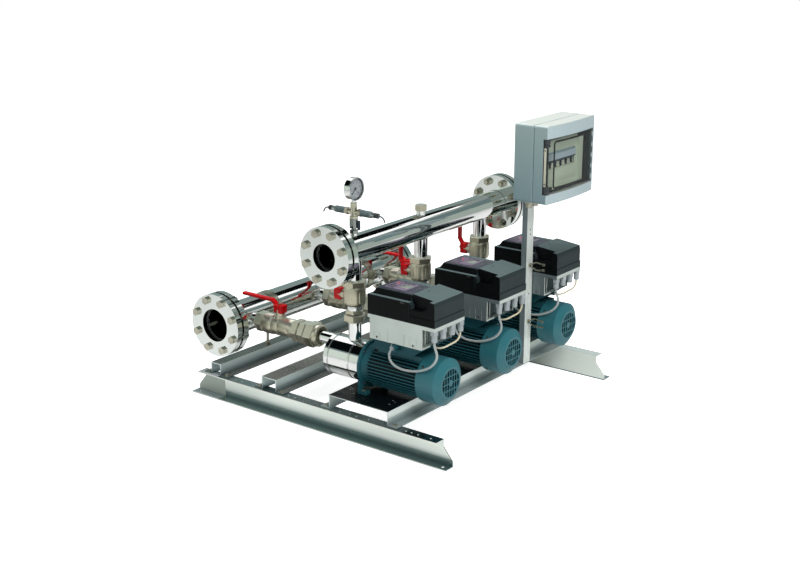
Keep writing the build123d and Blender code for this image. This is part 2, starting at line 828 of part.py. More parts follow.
def motor_frame():
    """Flange with feet, finned body, bearing seats, and the saddle under the terminal box."""
    outer = [
        (casing_rear, flange_radius), (casing_rear + flange_thickness, flange_radius),
        (casing_rear + flange_thickness, body_radius + adapter_rise), (fin_start, body_radius + 1),
        (fin_start, body_radius), (body_end - rear_collar, body_radius),
        (body_end - rear_collar, cowl_radius - cowl_wall), (body_end, cowl_radius - cowl_wall),
        (body_end, bearing_outer), (body_end - bearing_width, bearing_outer),
        (body_end - bearing_width, body_bore), (body_start, body_bore), (body_start, bearing_outer),
        (front_bearing, bearing_outer), (front_bearing, 50), (casing_rear, 50),
    ]
    body = turned(outer, (0, 0, shaft_height), (1, 0, 0))
    fins = []
    fin_x = (fin_start, body_end - rear_collar)
    fin = block(fin_x, (-fin_thickness / 2, fin_thickness / 2), (body_radius - 2, fin_radius))
    for index in range(fin_count):
        angle = index * 360 / fin_count
        from_top = min(angle, 360 - angle)
        if from_top > fin_gap_angle:
            fins.append(fin.rotate(Axis.X, angle).moved(Location((0, 0, shaft_height))))
    saddle = block((terminal_start, body_end - rear_collar), (-saddle_half_width, saddle_half_width),
                   (shaft_height + 45, terminal_low))
    body = body + fins + saddle
    for side in (-1, 1):
        y_range = sorted((side * (foot_offset - foot_width / 2), side * (foot_offset + foot_width / 2)))
        centre = motor_foot_x
        x_range = (centre - foot_length / 2, centre + foot_length / 2)
        body = body + block(x_range, y_range, (platform_top, platform_top + foot_pad_height))
        web_top = shaft_height - 40
        body = body + block((casing_rear, casing_rear + 8), y_range, (platform_top, web_top))
        hole_start = (centre, side * foot_offset, platform_top - 1)
        body = body - rod(hole_start, (0, 0, 1), frame_bolt_hole_radius, 20)
    bore_length = body_end - bearing_width - body_start
    return single(body - rod((body_start, 0, shaft_height), (1, 0, 0), body_bore, bore_length))


def stator():
    """Core and two winding heads."""
    axis = (1, 0, 0)
    end = stator_start + stator_length
    core = ring((stator_start, 0, shaft_height), axis, body_bore, stator_bore, stator_length)
    heads = [ring((x, 0, shaft_height), axis, coil_outer, coil_inner, coil_length)
             for x in (stator_start - coil_length, end)]
    return [core] + heads


def bearings_and_seal():
    """Both ball bearings and the shaft seal, each as a plain ring."""
    axis = (1, 0, 0)
    z = shaft_height
    return [
        ring((front_bearing, 0, z), axis, bearing_outer, bearing_inner, bearing_width),
        ring((body_end - bearing_width, 0, z), axis, bearing_outer, bearing_inner, bearing_width),
        ring((casing_rear - seal_width, 0, z), axis, seal_radius, shaft_radius + seal_gap, seal_width),
    ]


def fan():
    """Six straight blades on a hub."""
    hub = rod((fan_start, 0, 0), (1, 0, 0), fan_hub_radius, fan_width)
    blade = block((fan_start + 2, fan_start + fan_width - 2), (-fan_blade_sheet / 2, fan_blade_sheet / 2),
                  (fan_hub_radius - 2, fan_radius))
    blades = [blade.rotate(Axis.X, index * 360 / fan_blades) for index in range(fan_blades)]
    body = hub + blades
    return single(body - rod((fan_start, 0, 0), (1, 0, 0), shaft_radius, fan_width))


def rotor():
    """Shaft with the impellers, the rotor core and the fan pressed onto it."""
    axis = (1, 0, 0)
    length = fan_shaft_end - shaft_start
    solids = [rod((shaft_start, 0, 0), axis, shaft_radius, length)]
    end = impeller_length
    profile = [(0, shaft_radius), (end, shaft_radius), (end, impeller_radius), (end - 4, impeller_radius),
               (end - 4, impeller_hub), (0, impeller_hub)]
    for index in range(stage_count):
        solids.append(turned(profile, (stage_first + index * stage_pitch, 0, 0), axis))
    solids.append(ring((stator_start, 0, 0), axis, stator_bore - air_gap, shaft_radius, stator_length))
    solids.append(fan())
    return solids


def fan_cowl():
    """A cowl with a conical nose and a grid of slots around a centre boss."""
    start = body_end - rear_collar
    wall = cowl_wall
    face = cowl_face - start
    rim = cowl_rim - start
    profile = [
        (0, cowl_radius), (rim, cowl_radius), (face, cowl_face_radius), (face, grille_radius),
        (face - wall, grille_radius), (face - wall, cowl_face_radius - 1),
        (rim - 1, cowl_radius - wall), (0, cowl_radius - wall),
    ]
    body = turned(profile, (start, 0, 0), (1, 0, 0))
    x_range = (cowl_face - wall, cowl_face)
    pitch = 2 * grille_radius / grille_columns
    bars = []
    for index in range(1, grille_columns):
        y = index * pitch - grille_radius
        reach = sqrt(grille_radius ** 2 - y ** 2) + 2
        bars.append(block(x_range, (y - grille_bar / 2, y + grille_bar / 2), (-reach, reach)))
    for z in (-22.5, 0.0, 22.5):
        reach = sqrt(grille_radius ** 2 - z ** 2) + 2
        bars.append(block(x_range, (-reach, reach), (z - grille_rib / 2, z + grille_rib / 2)))
    boss = hexagon((cowl_face - wall, 0, 0), (1, 0, 0), 2 * grille_boss * 0.75, wall)
    return single(body + bars + boss)


save("pump_casings", in_rows([pump_casing()]))
save("motor_frames", in_rows([motor_frame()]))
save("stators", in_rows(stator()))
save("bearings_and_seals", in_rows(bearings_and_seal()))
save("fan_cowls", in_rows(moved([fan_cowl()], z=shaft_height)))
for number, row in enumerate(pump_rows, start=1):
    save(f"rotor_{number}", moved(rotor(), y=row, z=shaft_height))


# Terminal boxes, inverters and their glands

terminal_front = 346.0
terminal_slant_top = 336.0
gland_x = 440.0
gland_rows = (-66.0, -20.0, 26.0, 72.0)
gland_hex = 22.0
gland_hex_height = 14.0
gland_radius = 9.5
gland_end = 370.0
motor_gland = (-0.6, 0.0, -0.8)
motor_gland_start = (292.0, -73.0, 331.0)
motor_gland_length = 18.0
gland_boss_half = 13.0
sensor_gland_start = (372.0, -3.0, 326.0)
sensor_gland_length = 26.0
sensor_gland_radius = 6.0
heatsink_wall = 4.0
heatsink_fin_pitch = 15.0
heatsink_fin_count = 9
side_rib_rise = 1.0
side_ribs = ((214.0, 26.0), (238.0, 24.0), (270.0, 44.0), (334.0, 38.0), (356.0, 36.0), (380.0, 34.0))
side_screws = (226.0, 368.0)
side_screw_radius = 4.0
cover_lip = 22.0
cover_step = 2.0
hump_slope = 14.0
hump_low = -58.0
hump_high = 66.0
hump_start = 197.0
recess_end = 430.0
recess_low = cover_shoulder - 22
recess_radius = 42.0


def terminal_box():
    """A hollow box with a slanted front, a boss for the motor cable and one for the sensor cable."""
    start = terminal_start
    end = heatsink_end - 3
    outline = Polyline((start, terminal_low), (terminal_front, terminal_low), (end, terminal_slant_top),
                       (end, inverter_base), (start, inverter_base), close=True)
    box = extrude(Plane.XZ * make_face(outline), terminal_half_width, both=True)
    cavity = Polyline((start + 4, terminal_low + 4), (terminal_front - 4, terminal_low + 4),
                      (end - 12, inverter_base - 6), (start + 4, inverter_base - 6), close=True)
    box = box - extrude(Plane.XZ * make_face(cavity), terminal_half_width - 4, both=True)
    x, y, z = motor_gland_start
    boss_y = (y - gland_boss_half, 1 - terminal_half_width)
    boss = block((x - 6, x + gland_boss_half), boss_y, (z - 1.5 * gland_boss_half, inverter_base - 3))
    box = box + boss - rod(motor_gland_start, motor_gland, 1.5 * gland_boss_half, 2 * gland_boss_half)
    box = box + rod(sensor_gland_start, (1, 0, 0), sensor_gland_radius, sensor_gland_length)
    return single(box)


def heatsink():
    """Fins that run along the motor between a base and the rim that carries the cover."""
    half = inverter_half_width
    fins_x = (inverter_start + 8, heatsink_end)
    body = block(fins_x, (-half, half), (inverter_base, inverter_base + 5))
    for side in (-1, 1):
        y_range = sorted((side * half, side * (half - heatsink_wall)))
        body = body + block(fins_x, y_range, (inverter_base, rim_low))
    for index in range(heatsink_fin_count):
        y = (index - (heatsink_fin_count - 1) / 2) * heatsink_fin_pitch
        body = body + block((fins_x[0], heatsink_step), (y - 2, y + 2), (inverter_base, rim_low))
    rim = block((inverter_start, inverter_end), (-half, half), (rim_low, cover_low))
    for side in (-1, 1):
        y_range = sorted((side * (half - 1), side * (half + side_rib_rise)))
        for x, height in side_ribs:
            body = body + block((x - 1, x + 1), y_range, (inverter_base, inverter_base + height))
        for x in side_screws:
            start = (x, side * half, inverter_base + 9)
            body = body - rod(start, (0, -side, 0), side_screw_radius, 0.6 * heatsink_wall)
    return single(body + rim)


def inverter_cover():
    """The cover: a low body, the raised keypad hump, and the cap with its scooped corner."""
    half = inverter_half_width
    body = block((inverter_start, inverter_end), (-half, half), (cover_low, cover_shoulder))
    hump_outline = Polyline((hump_low - 6, cover_shoulder), (hump_high + 8, cover_shoulder),
                            (hump_high, cover_top), (hump_low, cover_top), close=True)
    hump = extrude(Plane.YZ.offset(hump_start) * make_face(hump_outline), cap_start - hump_start)
    slope = Polyline((hump_start - 1, cover_shoulder - 1), (hump_start - 1, cover_top + 1),
                     (hump_start + hump_slope, cover_top + 1), (hump_start, cover_shoulder - 1), close=True)
    hump = hump - extrude(Plane.XZ * make_face(slope), 2 * half, both=True)
    upper = (cover_low + cover_lip, cap_top + 1)
    for side in (-1, 1):
        y_range = sorted((side * (half - cover_step), side * (half + 1)))
        body = body - block((cap_start, inverter_end + 1), y_range, upper)
    body = body - block((inverter_end - cover_step, inverter_end + 1), (-half - 1, half + 1), upper)
    cap_end = inverter_end - cover_step
    cap_outline = Polyline((cap_start, cover_shoulder), (cap_end, cover_shoulder),
                           (cap_end - 3, cover_top - 6), (cap_start, cap_top), close=True)
    cap = extrude(Plane.XZ * make_face(cap_outline), half - cover_step, both=True)
    cavity = block((inverter_start + 4, inverter_end - 4), (-half + 4, half - 4), (cover_low, recess_low - 10))
    scoop_end = recess_end - recess_radius
    scoop = block((cap_start + 6, scoop_end), (-half - 1, hump_low), (recess_low, cap_top + 1))
    scoop_axis = (scoop_end, -half - 1, recess_low + recess_radius)
    scoop = scoop + rod(scoop_axis, (0, 1, 0), recess_radius, half + 1 + hump_low)
    return single(body + hump + cap - cavity - scoop)


keypad_x = (212.0, 351.0)
keypad_y = (-56.0, 42.0)
keypad_sheet = 1.5
display_x = (262.0, 306.0)
display_y = (-32.0, 14.0)


def inverter_keypad():
    """The keypad foil with its display window as a second piece."""
    z_range = (cover_top, cover_top + keypad_sheet)
    foil = block(keypad_x, keypad_y, z_range)
    window = block(display_x, display_y, z_range)
    return [single(foil - window), window]


def gland(start, direction, across, radius, hex_length, length):
    """A cable gland: hex body and dome nut."""
    end = Vector(*start) + Vector(*direction) * hex_length
    body = hexagon(start, direction, across, hex_length)
    return single(body + rod(tuple(end), direction, radius, length - hex_length))


panel_back = 352.0
panel_seam = 425.0
panel_corner = 476.0
panel_bulge = 10.0
panel_y = (141.0, 446.0)
panel_z = (696.0, 957.0)
panel_gland_spots = ((395.0, 172.0), (395.0, 208.0))


def cable_glands():
    solids = []
    for row in pump_rows:
        for y in gland_rows:
            start = (gland_x, row + y, rim_low)
            length = rim_low - gland_end
            solids.append(gland(start, (0, 0, -1), gland_hex, gland_radius, gland_hex_height, length))
        start = (motor_gland_start[0], row + motor_gland_start[1], motor_gland_start[2])
        length = motor_gland_length
        solids.append(gland(start, motor_gland, gland_hex - 3, gland_radius - 1, 8, length))
    for x, y in panel_gland_spots:
        solids.append(gland((x, y, panel_z[0]), (0, 0, -1), 26, 11, 10, 24))
    return solids


save("terminal_boxes", in_rows([terminal_box()]))
save("inverter_heatsinks", in_rows([heatsink()]))
save("inverter_covers", in_rows([inverter_cover()]))
save("inverter_keypads", in_rows(inverter_keypad()))
save("cable_glands", cable_glands())


# Gauge tree

tree_y = pump_rows[0]
tree_valve_low = 660.0
tree_valve_high = 698.0
tree_valve_across = 26.0
tree_bore = 4.0
cross_z = 712.0
cross_radius = 9.0
cross_body_radius = 11.0
cross_reach = 20.0
top_fitting = (726.0, 742.0)
gauge_centre = 787.0
gauge_radius = 34.0
gauge_back = 58.0
gauge_depth = 29.0
gauge_wall = 3.0
gauge_neck_radius = 7.0
bezel_rise = 1.5
bezel_width = 7.0
dial_back = 18.0
dial_front = 20.0
glass_back = 25.0
pointer_pin = 1.5
pointer_clearance = 0.05
transmitter_hex = 22.0
transmitter_hex_length = 12.0
transmitter_body_radius = 11.0
transmitter_body_end = 56.0
transmitter_end = 100.0
transmitter_grooves = (18.0, 25.0, 40.0)
connector_radius = 8.5


def gauge_stem():
    """Nipple, small valve body, cross and top fitting in one stack."""
    x = delivery_x
    up = (0, 0, 1)
    low = delivery_height + delivery_pipe_radius - 1
    body = rod((x, tree_y, low), up, gauge_stub_radius - socket_clearance, cross_z - low)
    collar_low = delivery_height + delivery_pipe_radius + boss_rise
    body = body + hexagon((x, tree_y, collar_low), up, 24, 10)
    valve_length = tree_valve_high - tree_valve_low
    body = body + hexagon((x, tree_y, tree_valve_low), up, tree_valve_across, valve_length)
    body = body + rod((x, tree_y, cross_z - 14), up, cross_body_radius, 28)
    body = body + rod((x - cross_reach, tree_y, cross_z), (1, 0, 0), cross_radius, 2 * cross_reach)
    body = body + hexagon((x, tree_y, top_fitting[0]), up, 20, top_fitting[1] - top_fitting[0])
    body = body - rod((x, tree_y, low), up, tree_bore, top_fitting[1] - low)
    stem_z = (tree_valve_low + tree_valve_high) / 2
    return [single(body - rod((x, tree_y, stem_z), (1, 0, 0), 3 + stem_clearance, tree_valve_across))]


def gauge_valve_lever():
    """The small lever and its stem; the lever hangs down when the valve is open."""
    z = (tree_valve_low + tree_valve_high) / 2
    start = delivery_x + tree_bore + 1
    end = delivery_x + tree_valve_across / 2 + 10
    stem = rod((start, tree_y, z), (1, 0, 0), 3, end - start)
    return [single(stem + block((end - 5, end), (tree_y - 5, tree_y + 5), (z - 24, z + 6)))]


def gauge_case():
    """Case with its neck, dial and glass."""
    axis = (1, 0, 0)
    origin = (gauge_back, tree_y, gauge_centre)
    inner = gauge_radius - gauge_wall
    band = gauge_radius - bezel_rise
    case = turned([(0, 0), (0, band - 4), (3, band), (gauge_depth - bezel_width, band),
                   (gauge_depth - bezel_width, gauge_radius), (gauge_depth - 1.5, gauge_radius),
                   (gauge_depth, gauge_radius - 1.5), (gauge_depth, inner), (4, inner), (4, 0)], origin, axis)
    neck_low = top_fitting[1]
    neck_x = gauge_back + 14
    neck = rod((neck_x, tree_y, neck_low), (0, 0, 1), gauge_neck_radius, gauge_centre - neck_low)
    neck = neck - rod((gauge_back - 1, tree_y, gauge_centre), axis, inner + 1, gauge_depth + 2)
    dial = ring((gauge_back + dial_back, tree_y, gauge_centre), axis, inner, pointer_pin + pointer_clearance,
                dial_front - dial_back)
    glass = rod((gauge_back + glass_back, tree_y, gauge_centre), axis, inner, 2)
    return [single(case + neck), dial, glass]


def gauge_pointer():
    """Pin, hub and a blade that rests at the dial's lower left."""
    axis = (1, 0, 0)
    z = gauge_centre
    x = gauge_back + dial_front
    pin = rod((x - 6, tree_y, z), axis, pointer_pin, 8)
    hub = rod((x + 0.5, tree_y, z), axis, 4, 2)
    blade = block((x + 1, x + 2), (tree_y - 1, tree_y + 1), (z - 6, z + 24))
    blade = blade.rotate(Axis((0, tree_y, z), (1, 0, 0)), 135)
    return [single(pin + hub + blade)]


def transmitter(side):
    """A pressure transmitter: hex, body and connector along one arm of the cross."""
    start = delivery_x + side * cross_reach
    axis = (side, 0, 0)
    body = hexagon((start, tree_y, cross_z), axis, transmitter_hex, transmitter_hex_length)
    r = transmitter_body_radius
    outline = [(0, 0), (0, r - 3), (transmitter_hex_length, r - 3), (transmitter_hex_length, r)]
    for groove in transmitter_grooves:
        outline += [(groove, r), (groove, r - 1.2), (groove + 2, r - 1.2), (groove + 2, r)]
    outline += [(transmitter_body_end - 4, r), (transmitter_body_end, connector_radius)]
    outline += [(transmitter_end - cross_reach, connector_radius), (transmitter_end - cross_reach, 0)]
    return single(body + turned(outline, (start, tree_y, cross_z), axis))


save("gauge_stem", gauge_stem())
save("gauge_valve_lever", gauge_valve_lever())
save("gauge_case", gauge_case())
save("gauge_pointer", gauge_pointer())
save("pressure_transmitters", [transmitter(1), transmitter(-1)])


# Control panel

panel_wall = 4.0
panel_middle = sum(panel_y) / 2
panel_half_width = (panel_y[1] - panel_y[0]) / 2
bulge_radius = (panel_half_width ** 2 + panel_bulge ** 2) / (2 * panel_bulge)
bulge_axis = (panel_corner + panel_bulge - bulge_radius, panel_middle)
door_y = (142.0, 437.0)
door_z = (730.0, 913.0)
door_gap = 1.5
door_back = 464.0
door_sheet = 4.0
hinge_x = 470.0
hinge_y = 147.0
hinge_pin_radius = 2.5
hinge_clearance = 0.05
hinge_pin_length = 22.0
seam_depth = 2.0
seam_width = 2.0
rim_width = 5.0
rim_rise = 1.5
knuckle_height = 25.0
knuckle_width = 15.0
grip_count = 5
grip_width = 8.0
grip_height = 15.0
front_floor = (456.0, 461.0)
window_y = (178.0, 372.0)
window_z = (745.0, 905.0)
window_corner = 12.0
plate_x = (453.0, 456.0)
plate_slot_y = (185.0, 355.0)
plate_slot_z = (804.0, 862.0)
breaker_x = (400.0, 451.0)
breaker_z = (790.0, 878.0)
module_width = 34.0
nose_x = 461.0
nose_z = (831.0, 855.0)
rail_x = (394.0, 400.0)
rail_inset = 11.0
bracket_inset = 19.0
bracket_width = 10.0
toggle_x = 450.0
toggle_z = 820.0
toggle_radius = 5.0
toggle_half_width = 5.0
toggle_length = 13.0
toggle_tilt = 70.0


def bulged(radius, x_start, y_range, z_range):
    """A block whose front face follows the panel's bulge."""
    height = z_range[1] - z_range[0]
    drum = Solid.make_cylinder(radius, height, Plane(origin=(*bulge_axis, z_range[0])))
    return single(block((x_start, panel_corner + 2 * panel_bulge), y_range, z_range).intersect(drum))


def seam(x_range):
    """The shallow groove between the panel's two halves, as a ring to cut away."""
    outer = block(x_range, (panel_y[0] - 1, panel_y[1] + 1), (panel_z[0] - 1, panel_z[1] + 1))
    inner_y = (panel_y[0] + seam_depth, panel_y[1] - seam_depth)
    inner_z = (panel_z[0] + seam_depth, panel_z[1] - seam_depth)
    inner = block((x_range[0] - 1, x_range[1] + 1), inner_y, inner_z)
    return outer - fillet(inner.edges().filter_by(Axis.X), 8 - seam_depth)


def panel_box():
    """The back half of the panel, with the mounting rail on two brackets."""
    box = block((panel_back, panel_seam), panel_y, panel_z)
    box = fillet(box.edges().filter_by(Axis.X), 8)
    inner_y = (panel_y[0] + panel_wall, panel_y[1] - panel_wall)
    inner_z = (panel_z[0] + panel_wall, panel_z[1] - panel_wall)
    box = box - block((panel_back + panel_wall, panel_seam + 1), inner_y, inner_z)
    middle = sum(breaker_z) / 2
    rail_y = (panel_y[0] + rail_inset, panel_y[1] - rail_inset)
    box = box + block(rail_x, rail_y, (middle - 17, middle + 17))
    for y in (panel_y[0] + bracket_inset, panel_y[1] - bracket_inset - bracket_width):
        bracket_y = (y, y + bracket_width)
        box = box + block((panel_back + 1, rail_x[0] + 1), bracket_y, (middle - 8, middle + 8))
    return [single(box - seam((panel_seam - seam_width, panel_seam + 1)))]


def panel_front():
    """The bulged front with a recess for the door and a window to the breakers."""
    front = bulged(bulge_radius, panel_seam, panel_y, panel_z)
    corners = front.edges().filter_by(Axis.X)
    front = fillet(corners, 8)
    inner_y = (panel_y[0] + panel_wall, panel_y[1] - panel_wall)
    inner_z = (panel_z[0] + panel_wall, panel_z[1] - panel_wall)
    front = front - block((panel_seam - 1, front_floor[0]), inner_y, inner_z)
    recess_y = (panel_y[0] - 1, door_y[1] + door_gap)
    recess_z = (door_z[0] - door_gap, door_z[1] + door_gap)
    front = front - block((front_floor[1], panel_corner + 2 * panel_bulge), recess_y, recess_z)
    window = block((front_floor[0] - 1, front_floor[1] + 1), window_y, window_z)
    front = front - fillet(window.edges().filter_by(Axis.X), window_corner)
    front = front - seam((panel_seam - 1, panel_seam + seam_width))
    for z, way in ((recess_z[1] + 1, -1), (recess_z[0] - 1, 1)):
        front = front + rod((hinge_x, hinge_y, z), (0, 0, way), hinge_pin_radius, hinge_pin_length + 1)
    return [single(front)]


def panel_door():
    """A clear door, hollow behind, that turns on two pins, with a rim round its window and five grips."""
    door = bulged(bulge_radius, door_back, door_y, door_z)
    rim = bulged(bulge_radius + rim_rise, door_back + 4, window_y, window_z)
    rim = fillet(rim.edges().filter_by(Axis.X), window_corner)
    hole_y = (window_y[0] + rim_width, window_y[1] - rim_width)
    hole_z = (window_z[0] + rim_width, window_z[1] - rim_width)
    hole = block((door_back, panel_corner + 3 * panel_bulge), hole_y, hole_z)
    door = door + (rim - fillet(hole.edges().filter_by(Axis.X), window_corner - rim_width))
    for z in (door_z[0], door_z[1] - knuckle_height):
        knuckle_y = (door_y[0], door_y[0] + knuckle_width)
        door = door + bulged(bulge_radius + rim_rise, hinge_x, knuckle_y, (z, z + knuckle_height))
    grip_y = (door_y[1] - grip_width - 2, door_y[1] - 2)
    pitch = (door_z[1] - door_z[0]) / grip_count
    for index in range(grip_count):
        z = door_z[0] + (index + 0.5) * pitch - grip_height / 2
        door = door + bulged(bulge_radius + rim_rise, hinge_x, grip_y, (z, z + grip_height))
    inner_y = (door_y[0] + 12, door_y[1] - door_sheet)
    inner_z = (door_z[0] + door_sheet, door_z[1] - door_sheet)
    door = door - bulged(bulge_radius - door_sheet, door_back - 1, inner_y, inner_z)
    hole_radius = hinge_pin_radius + hinge_clearance
    for z, way in ((door_z[1], -1), (door_z[0], 1)):
        door = door - rod((hinge_x, hinge_y, z), (0, 0, way), hole_radius, hinge_pin_length)
    return [single(door)]


def panel_plate():
    """The inner plate around the breakers."""
    plate = block(plate_x, (window_y[0] - 10, window_y[1] + 10), (window_z[0] - 8, window_z[1] + 8))
    return [single(plate - block((plate_x[0] - 1, plate_x[1] + 1), plate_slot_y, plate_slot_z))]


def toggle_rows():
    """The middle of each breaker module along Y."""
    return [plate_slot_y[0] + (index + 0.5) * module_width for index in range(5)]


def breakers():
    """A main switch two modules wide and three single breakers, all on the rail."""
    solids = []
    rows = toggle_rows()
    groups = [rows[0:2], rows[2:3], rows[3:4], rows[4:5]]
    for group in groups:
        y_range = (group[0] - module_width / 2 + 0.5, group[-1] + module_width / 2 - 0.5)
        body = block(breaker_x, y_range, breaker_z)
        body = body + block((breaker_x[1] - 1, nose_x), y_range, nose_z)
        for y in group:
            start = (toggle_x, y - toggle_half_width - 0.5, toggle_z)
            body = body - rod(start, (0, 1, 0), toggle_radius + hinge_clearance, 2 * toggle_half_width + 1)
            slot_y = (y - toggle_half_width - 0.5, y + toggle_half_width + 0.5)
            body = body - block((toggle_x, breaker_x[1] + 1), slot_y, (toggle_z - 18, toggle_z + 9))
        solids.append(single(body))
    return solids


def toggle(y):
    """A drum with a lever that points down at rest."""
    drum = rod((toggle_x, y - toggle_half_width, toggle_z), (0, 1, 0), toggle_radius, 2 * toggle_half_width)
    lever = block((0, toggle_length), (-toggle_half_width + 1, toggle_half_width - 1), (-1.5, 1.5))
    lever = lever.rotate(Axis.Y, toggle_tilt).moved(Location((toggle_x, y, toggle_z)))
    return single(drum + lever)


save("panel_box", panel_box())
save("panel_front", panel_front())
save("panel_door", panel_door())
save("panel_plate", panel_plate())
save("breakers", breakers())
toggle_ys = toggle_rows()
save("main_toggle", [toggle(toggle_ys[0]), toggle(toggle_ys[1])])
for number, y in enumerate(toggle_ys[2:], start=1):
    save(f"breaker_toggle_{number}", [toggle(y)])


# Cables

motor_cable_radius = 4.0
sensor_cable_radius = 3.0
lead_radius = 2.5
bend_share = 0.45

# One cable of each kind, relative to its pump's row
motor_cable_points = [
    (281.2, -73.0, 316.6), (275.5, -73.0, 309.0), (271.0, -73.5, 297.8), (271.5, -74.0, 284.4),
    (277.8, -74.0, 272.8), (288.8, -74.0, 264.4), (310.9, -74.0, 257.4), (337.0, -74.0, 256.4),
    (376.0, -74.0, 261.5), (412.0, -74.0, 275.5), (437.0, -73.0, 292.0), (451.0, -71.0, 312.0),
    (453.0, -69.0, 328.0), (447.2, -67.2, 343.0), (440.0, -66.0, 356.5), (440.0, -66.0, 370.0),
]
sensor_cable_points = [
    (440.0, 72.0, 370.0), (440.0, 72.0, 359.0), (439.5, 66.5, 348.0), (438.0, 56.5, 340.5),
    (435.5, 43.0, 337.0), (432.0, 27.0, 334.5), (429.0, 14.0, 331.5), (423.0, 3.5, 328.5),
    (411.5, -3.0, 326.0), (398.0, -3.0, 326.0),
]
front_lead_points = [
    (172.0, -358.0, 712.0), (180.5, -358.0, 712.0), (189.0, -358.0, 709.0), (195.0, -358.0, 702.5),
    (198.0, -358.0, 694.5),
]
rear_lead_points = [
    (-28.0, -358.0, 712.0), (-36.5, -358.0, 712.0), (-45.0, -358.0, 709.0), (-51.0, -358.0, 702.5),
    (-54.0, -358.0, 694.5),
]


def bend_radii(points):
    """The largest even bend at each inner point that leaves the runs some straight length."""
    radii = []
    for before, here, after in zip(points, points[1:], points[2:]):
        first = Vector(*here) - Vector(*before)
        second = Vector(*after) - Vector(*here)
        turn = radians(first.get_angle(second))
        radii.append(bend_share * min(first.length, second.length) / tan(turn / 2))
    return radii


def cable(name, points, radius):
    """A round tube along straight runs joined by tangent arcs."""
    radii = bend_radii(points)
    path = FilletPolyline(*points, radius=radii)
    tube = sweep(Plane(origin=path @ 0, z_dir=path % 0) * Circle(radius), path=path)
    smallest = min(radii) / (2 * radius)
    ratio = tube.volume / (pi * radius ** 2 * path.length)
    print(f"{name} length {path.length:.1f} volume ratio {ratio:.4f}")
    print(f"  smallest bend {smallest:.2f} diameters")
    print("  bend radii", [round(value, 1) for value in radii])
    save(name, [single(tube)])


def in_row(points, row):
    return [(x, y + row, z) for x, y, z in points]


for number, row in enumerate(pump_rows, start=1):
    cable(f"motor_cable_{number}", in_row(motor_cable_points, row), motor_cable_radius)
    cable(f"sensor_cable_{number}", in_row(sensor_cable_points, row), sensor_cable_radius)
cable("transmitter_lead_1", front_lead_points, lead_radius)
cable("transmitter_lead_2", rear_lead_points, lead_radius)
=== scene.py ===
from math import cos, pi, radians, sin, sqrt

import bmesh
import bpy
from mathutils import Euler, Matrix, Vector


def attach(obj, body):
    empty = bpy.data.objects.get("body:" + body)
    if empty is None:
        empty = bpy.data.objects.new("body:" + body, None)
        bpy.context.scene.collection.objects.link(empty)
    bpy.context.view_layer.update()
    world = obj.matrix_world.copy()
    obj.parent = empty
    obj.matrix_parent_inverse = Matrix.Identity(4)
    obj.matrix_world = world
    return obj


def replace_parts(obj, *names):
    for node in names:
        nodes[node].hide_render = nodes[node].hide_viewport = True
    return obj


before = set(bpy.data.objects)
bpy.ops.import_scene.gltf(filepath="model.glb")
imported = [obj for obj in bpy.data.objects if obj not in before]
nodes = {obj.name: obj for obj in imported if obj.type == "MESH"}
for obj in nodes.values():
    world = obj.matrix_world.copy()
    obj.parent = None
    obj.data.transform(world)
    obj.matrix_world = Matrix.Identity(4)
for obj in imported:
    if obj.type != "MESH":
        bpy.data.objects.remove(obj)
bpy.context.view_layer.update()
scene = bpy.context.scene

# Places that the pieces share, in metres
row_pitch = 0.358
pump_rows = (-row_pitch, 0.0, row_pitch)
motor_axis_z = 0.220
suction_axis_z = 0.264
suction_stem_x = -0.257
delivery_stem_z = 0.431
riser_x = 0.072
suction_pipe_x, delivery_pipe_z = -0.436, 0.592
panel_seam_x = 0.425
right, ahead, up = (1, 0, 0), (0, 1, 0), (0, 0, 1)


# Camera at the photograph's place

camera_data = bpy.data.cameras.new("camera")
camera_data.sensor_width = 36.0
camera_data.lens = 59.15
camera_data.clip_end = 100.0
camera = bpy.data.objects.new("camera", camera_data)
camera.location = (2.6642, -3.4948, 1.6918)
camera.rotation_euler = Euler((radians(73.0), 0.0, radians(37.5)))
scene.collection.objects.link(camera)
scene.camera = camera
scene.view_settings.view_transform = "Standard"


# Cables, on the same routes as the model's tubes

motor_route = [
    (0.2812, -0.0730, 0.3166), (0.2755, -0.0730, 0.3090), (0.2710, -0.0735, 0.2978),
    (0.2715, -0.0740, 0.2844), (0.2778, -0.0740, 0.2728), (0.2888, -0.0740, 0.2644),
    (0.3109, -0.0740, 0.2574), (0.3370, -0.0740, 0.2564), (0.3760, -0.0740, 0.2615),
    (0.4120, -0.0740, 0.2755), (0.4370, -0.0730, 0.2920), (0.4510, -0.0710, 0.3120),
    (0.4530, -0.0690, 0.3280), (0.4472, -0.0672, 0.3430), (0.4400, -0.0660, 0.3565),
    (0.4400, -0.0660, 0.3700),
]
sensor_route = [
    (0.4400, 0.0720, 0.3700), (0.4400, 0.0720, 0.3590), (0.4395, 0.0665, 0.3480),
    (0.4380, 0.0565, 0.3405), (0.4355, 0.0430, 0.3370), (0.4320, 0.0270, 0.3345),
    (0.4290, 0.0140, 0.3315), (0.4230, 0.0035, 0.3285), (0.4115, -0.0030, 0.3260),
    (0.3980, -0.0030, 0.3260),
]
front_lead_route = [
    (0.1720, -0.3580, 0.7120), (0.1805, -0.3580, 0.7120), (0.1890, -0.3580, 0.7090),
    (0.1950, -0.3580, 0.7025), (0.1980, -0.3580, 0.6945),
]
rear_lead_route = [(round(2 * riser_x - x, 4), y, z) for x, y, z in front_lead_route]


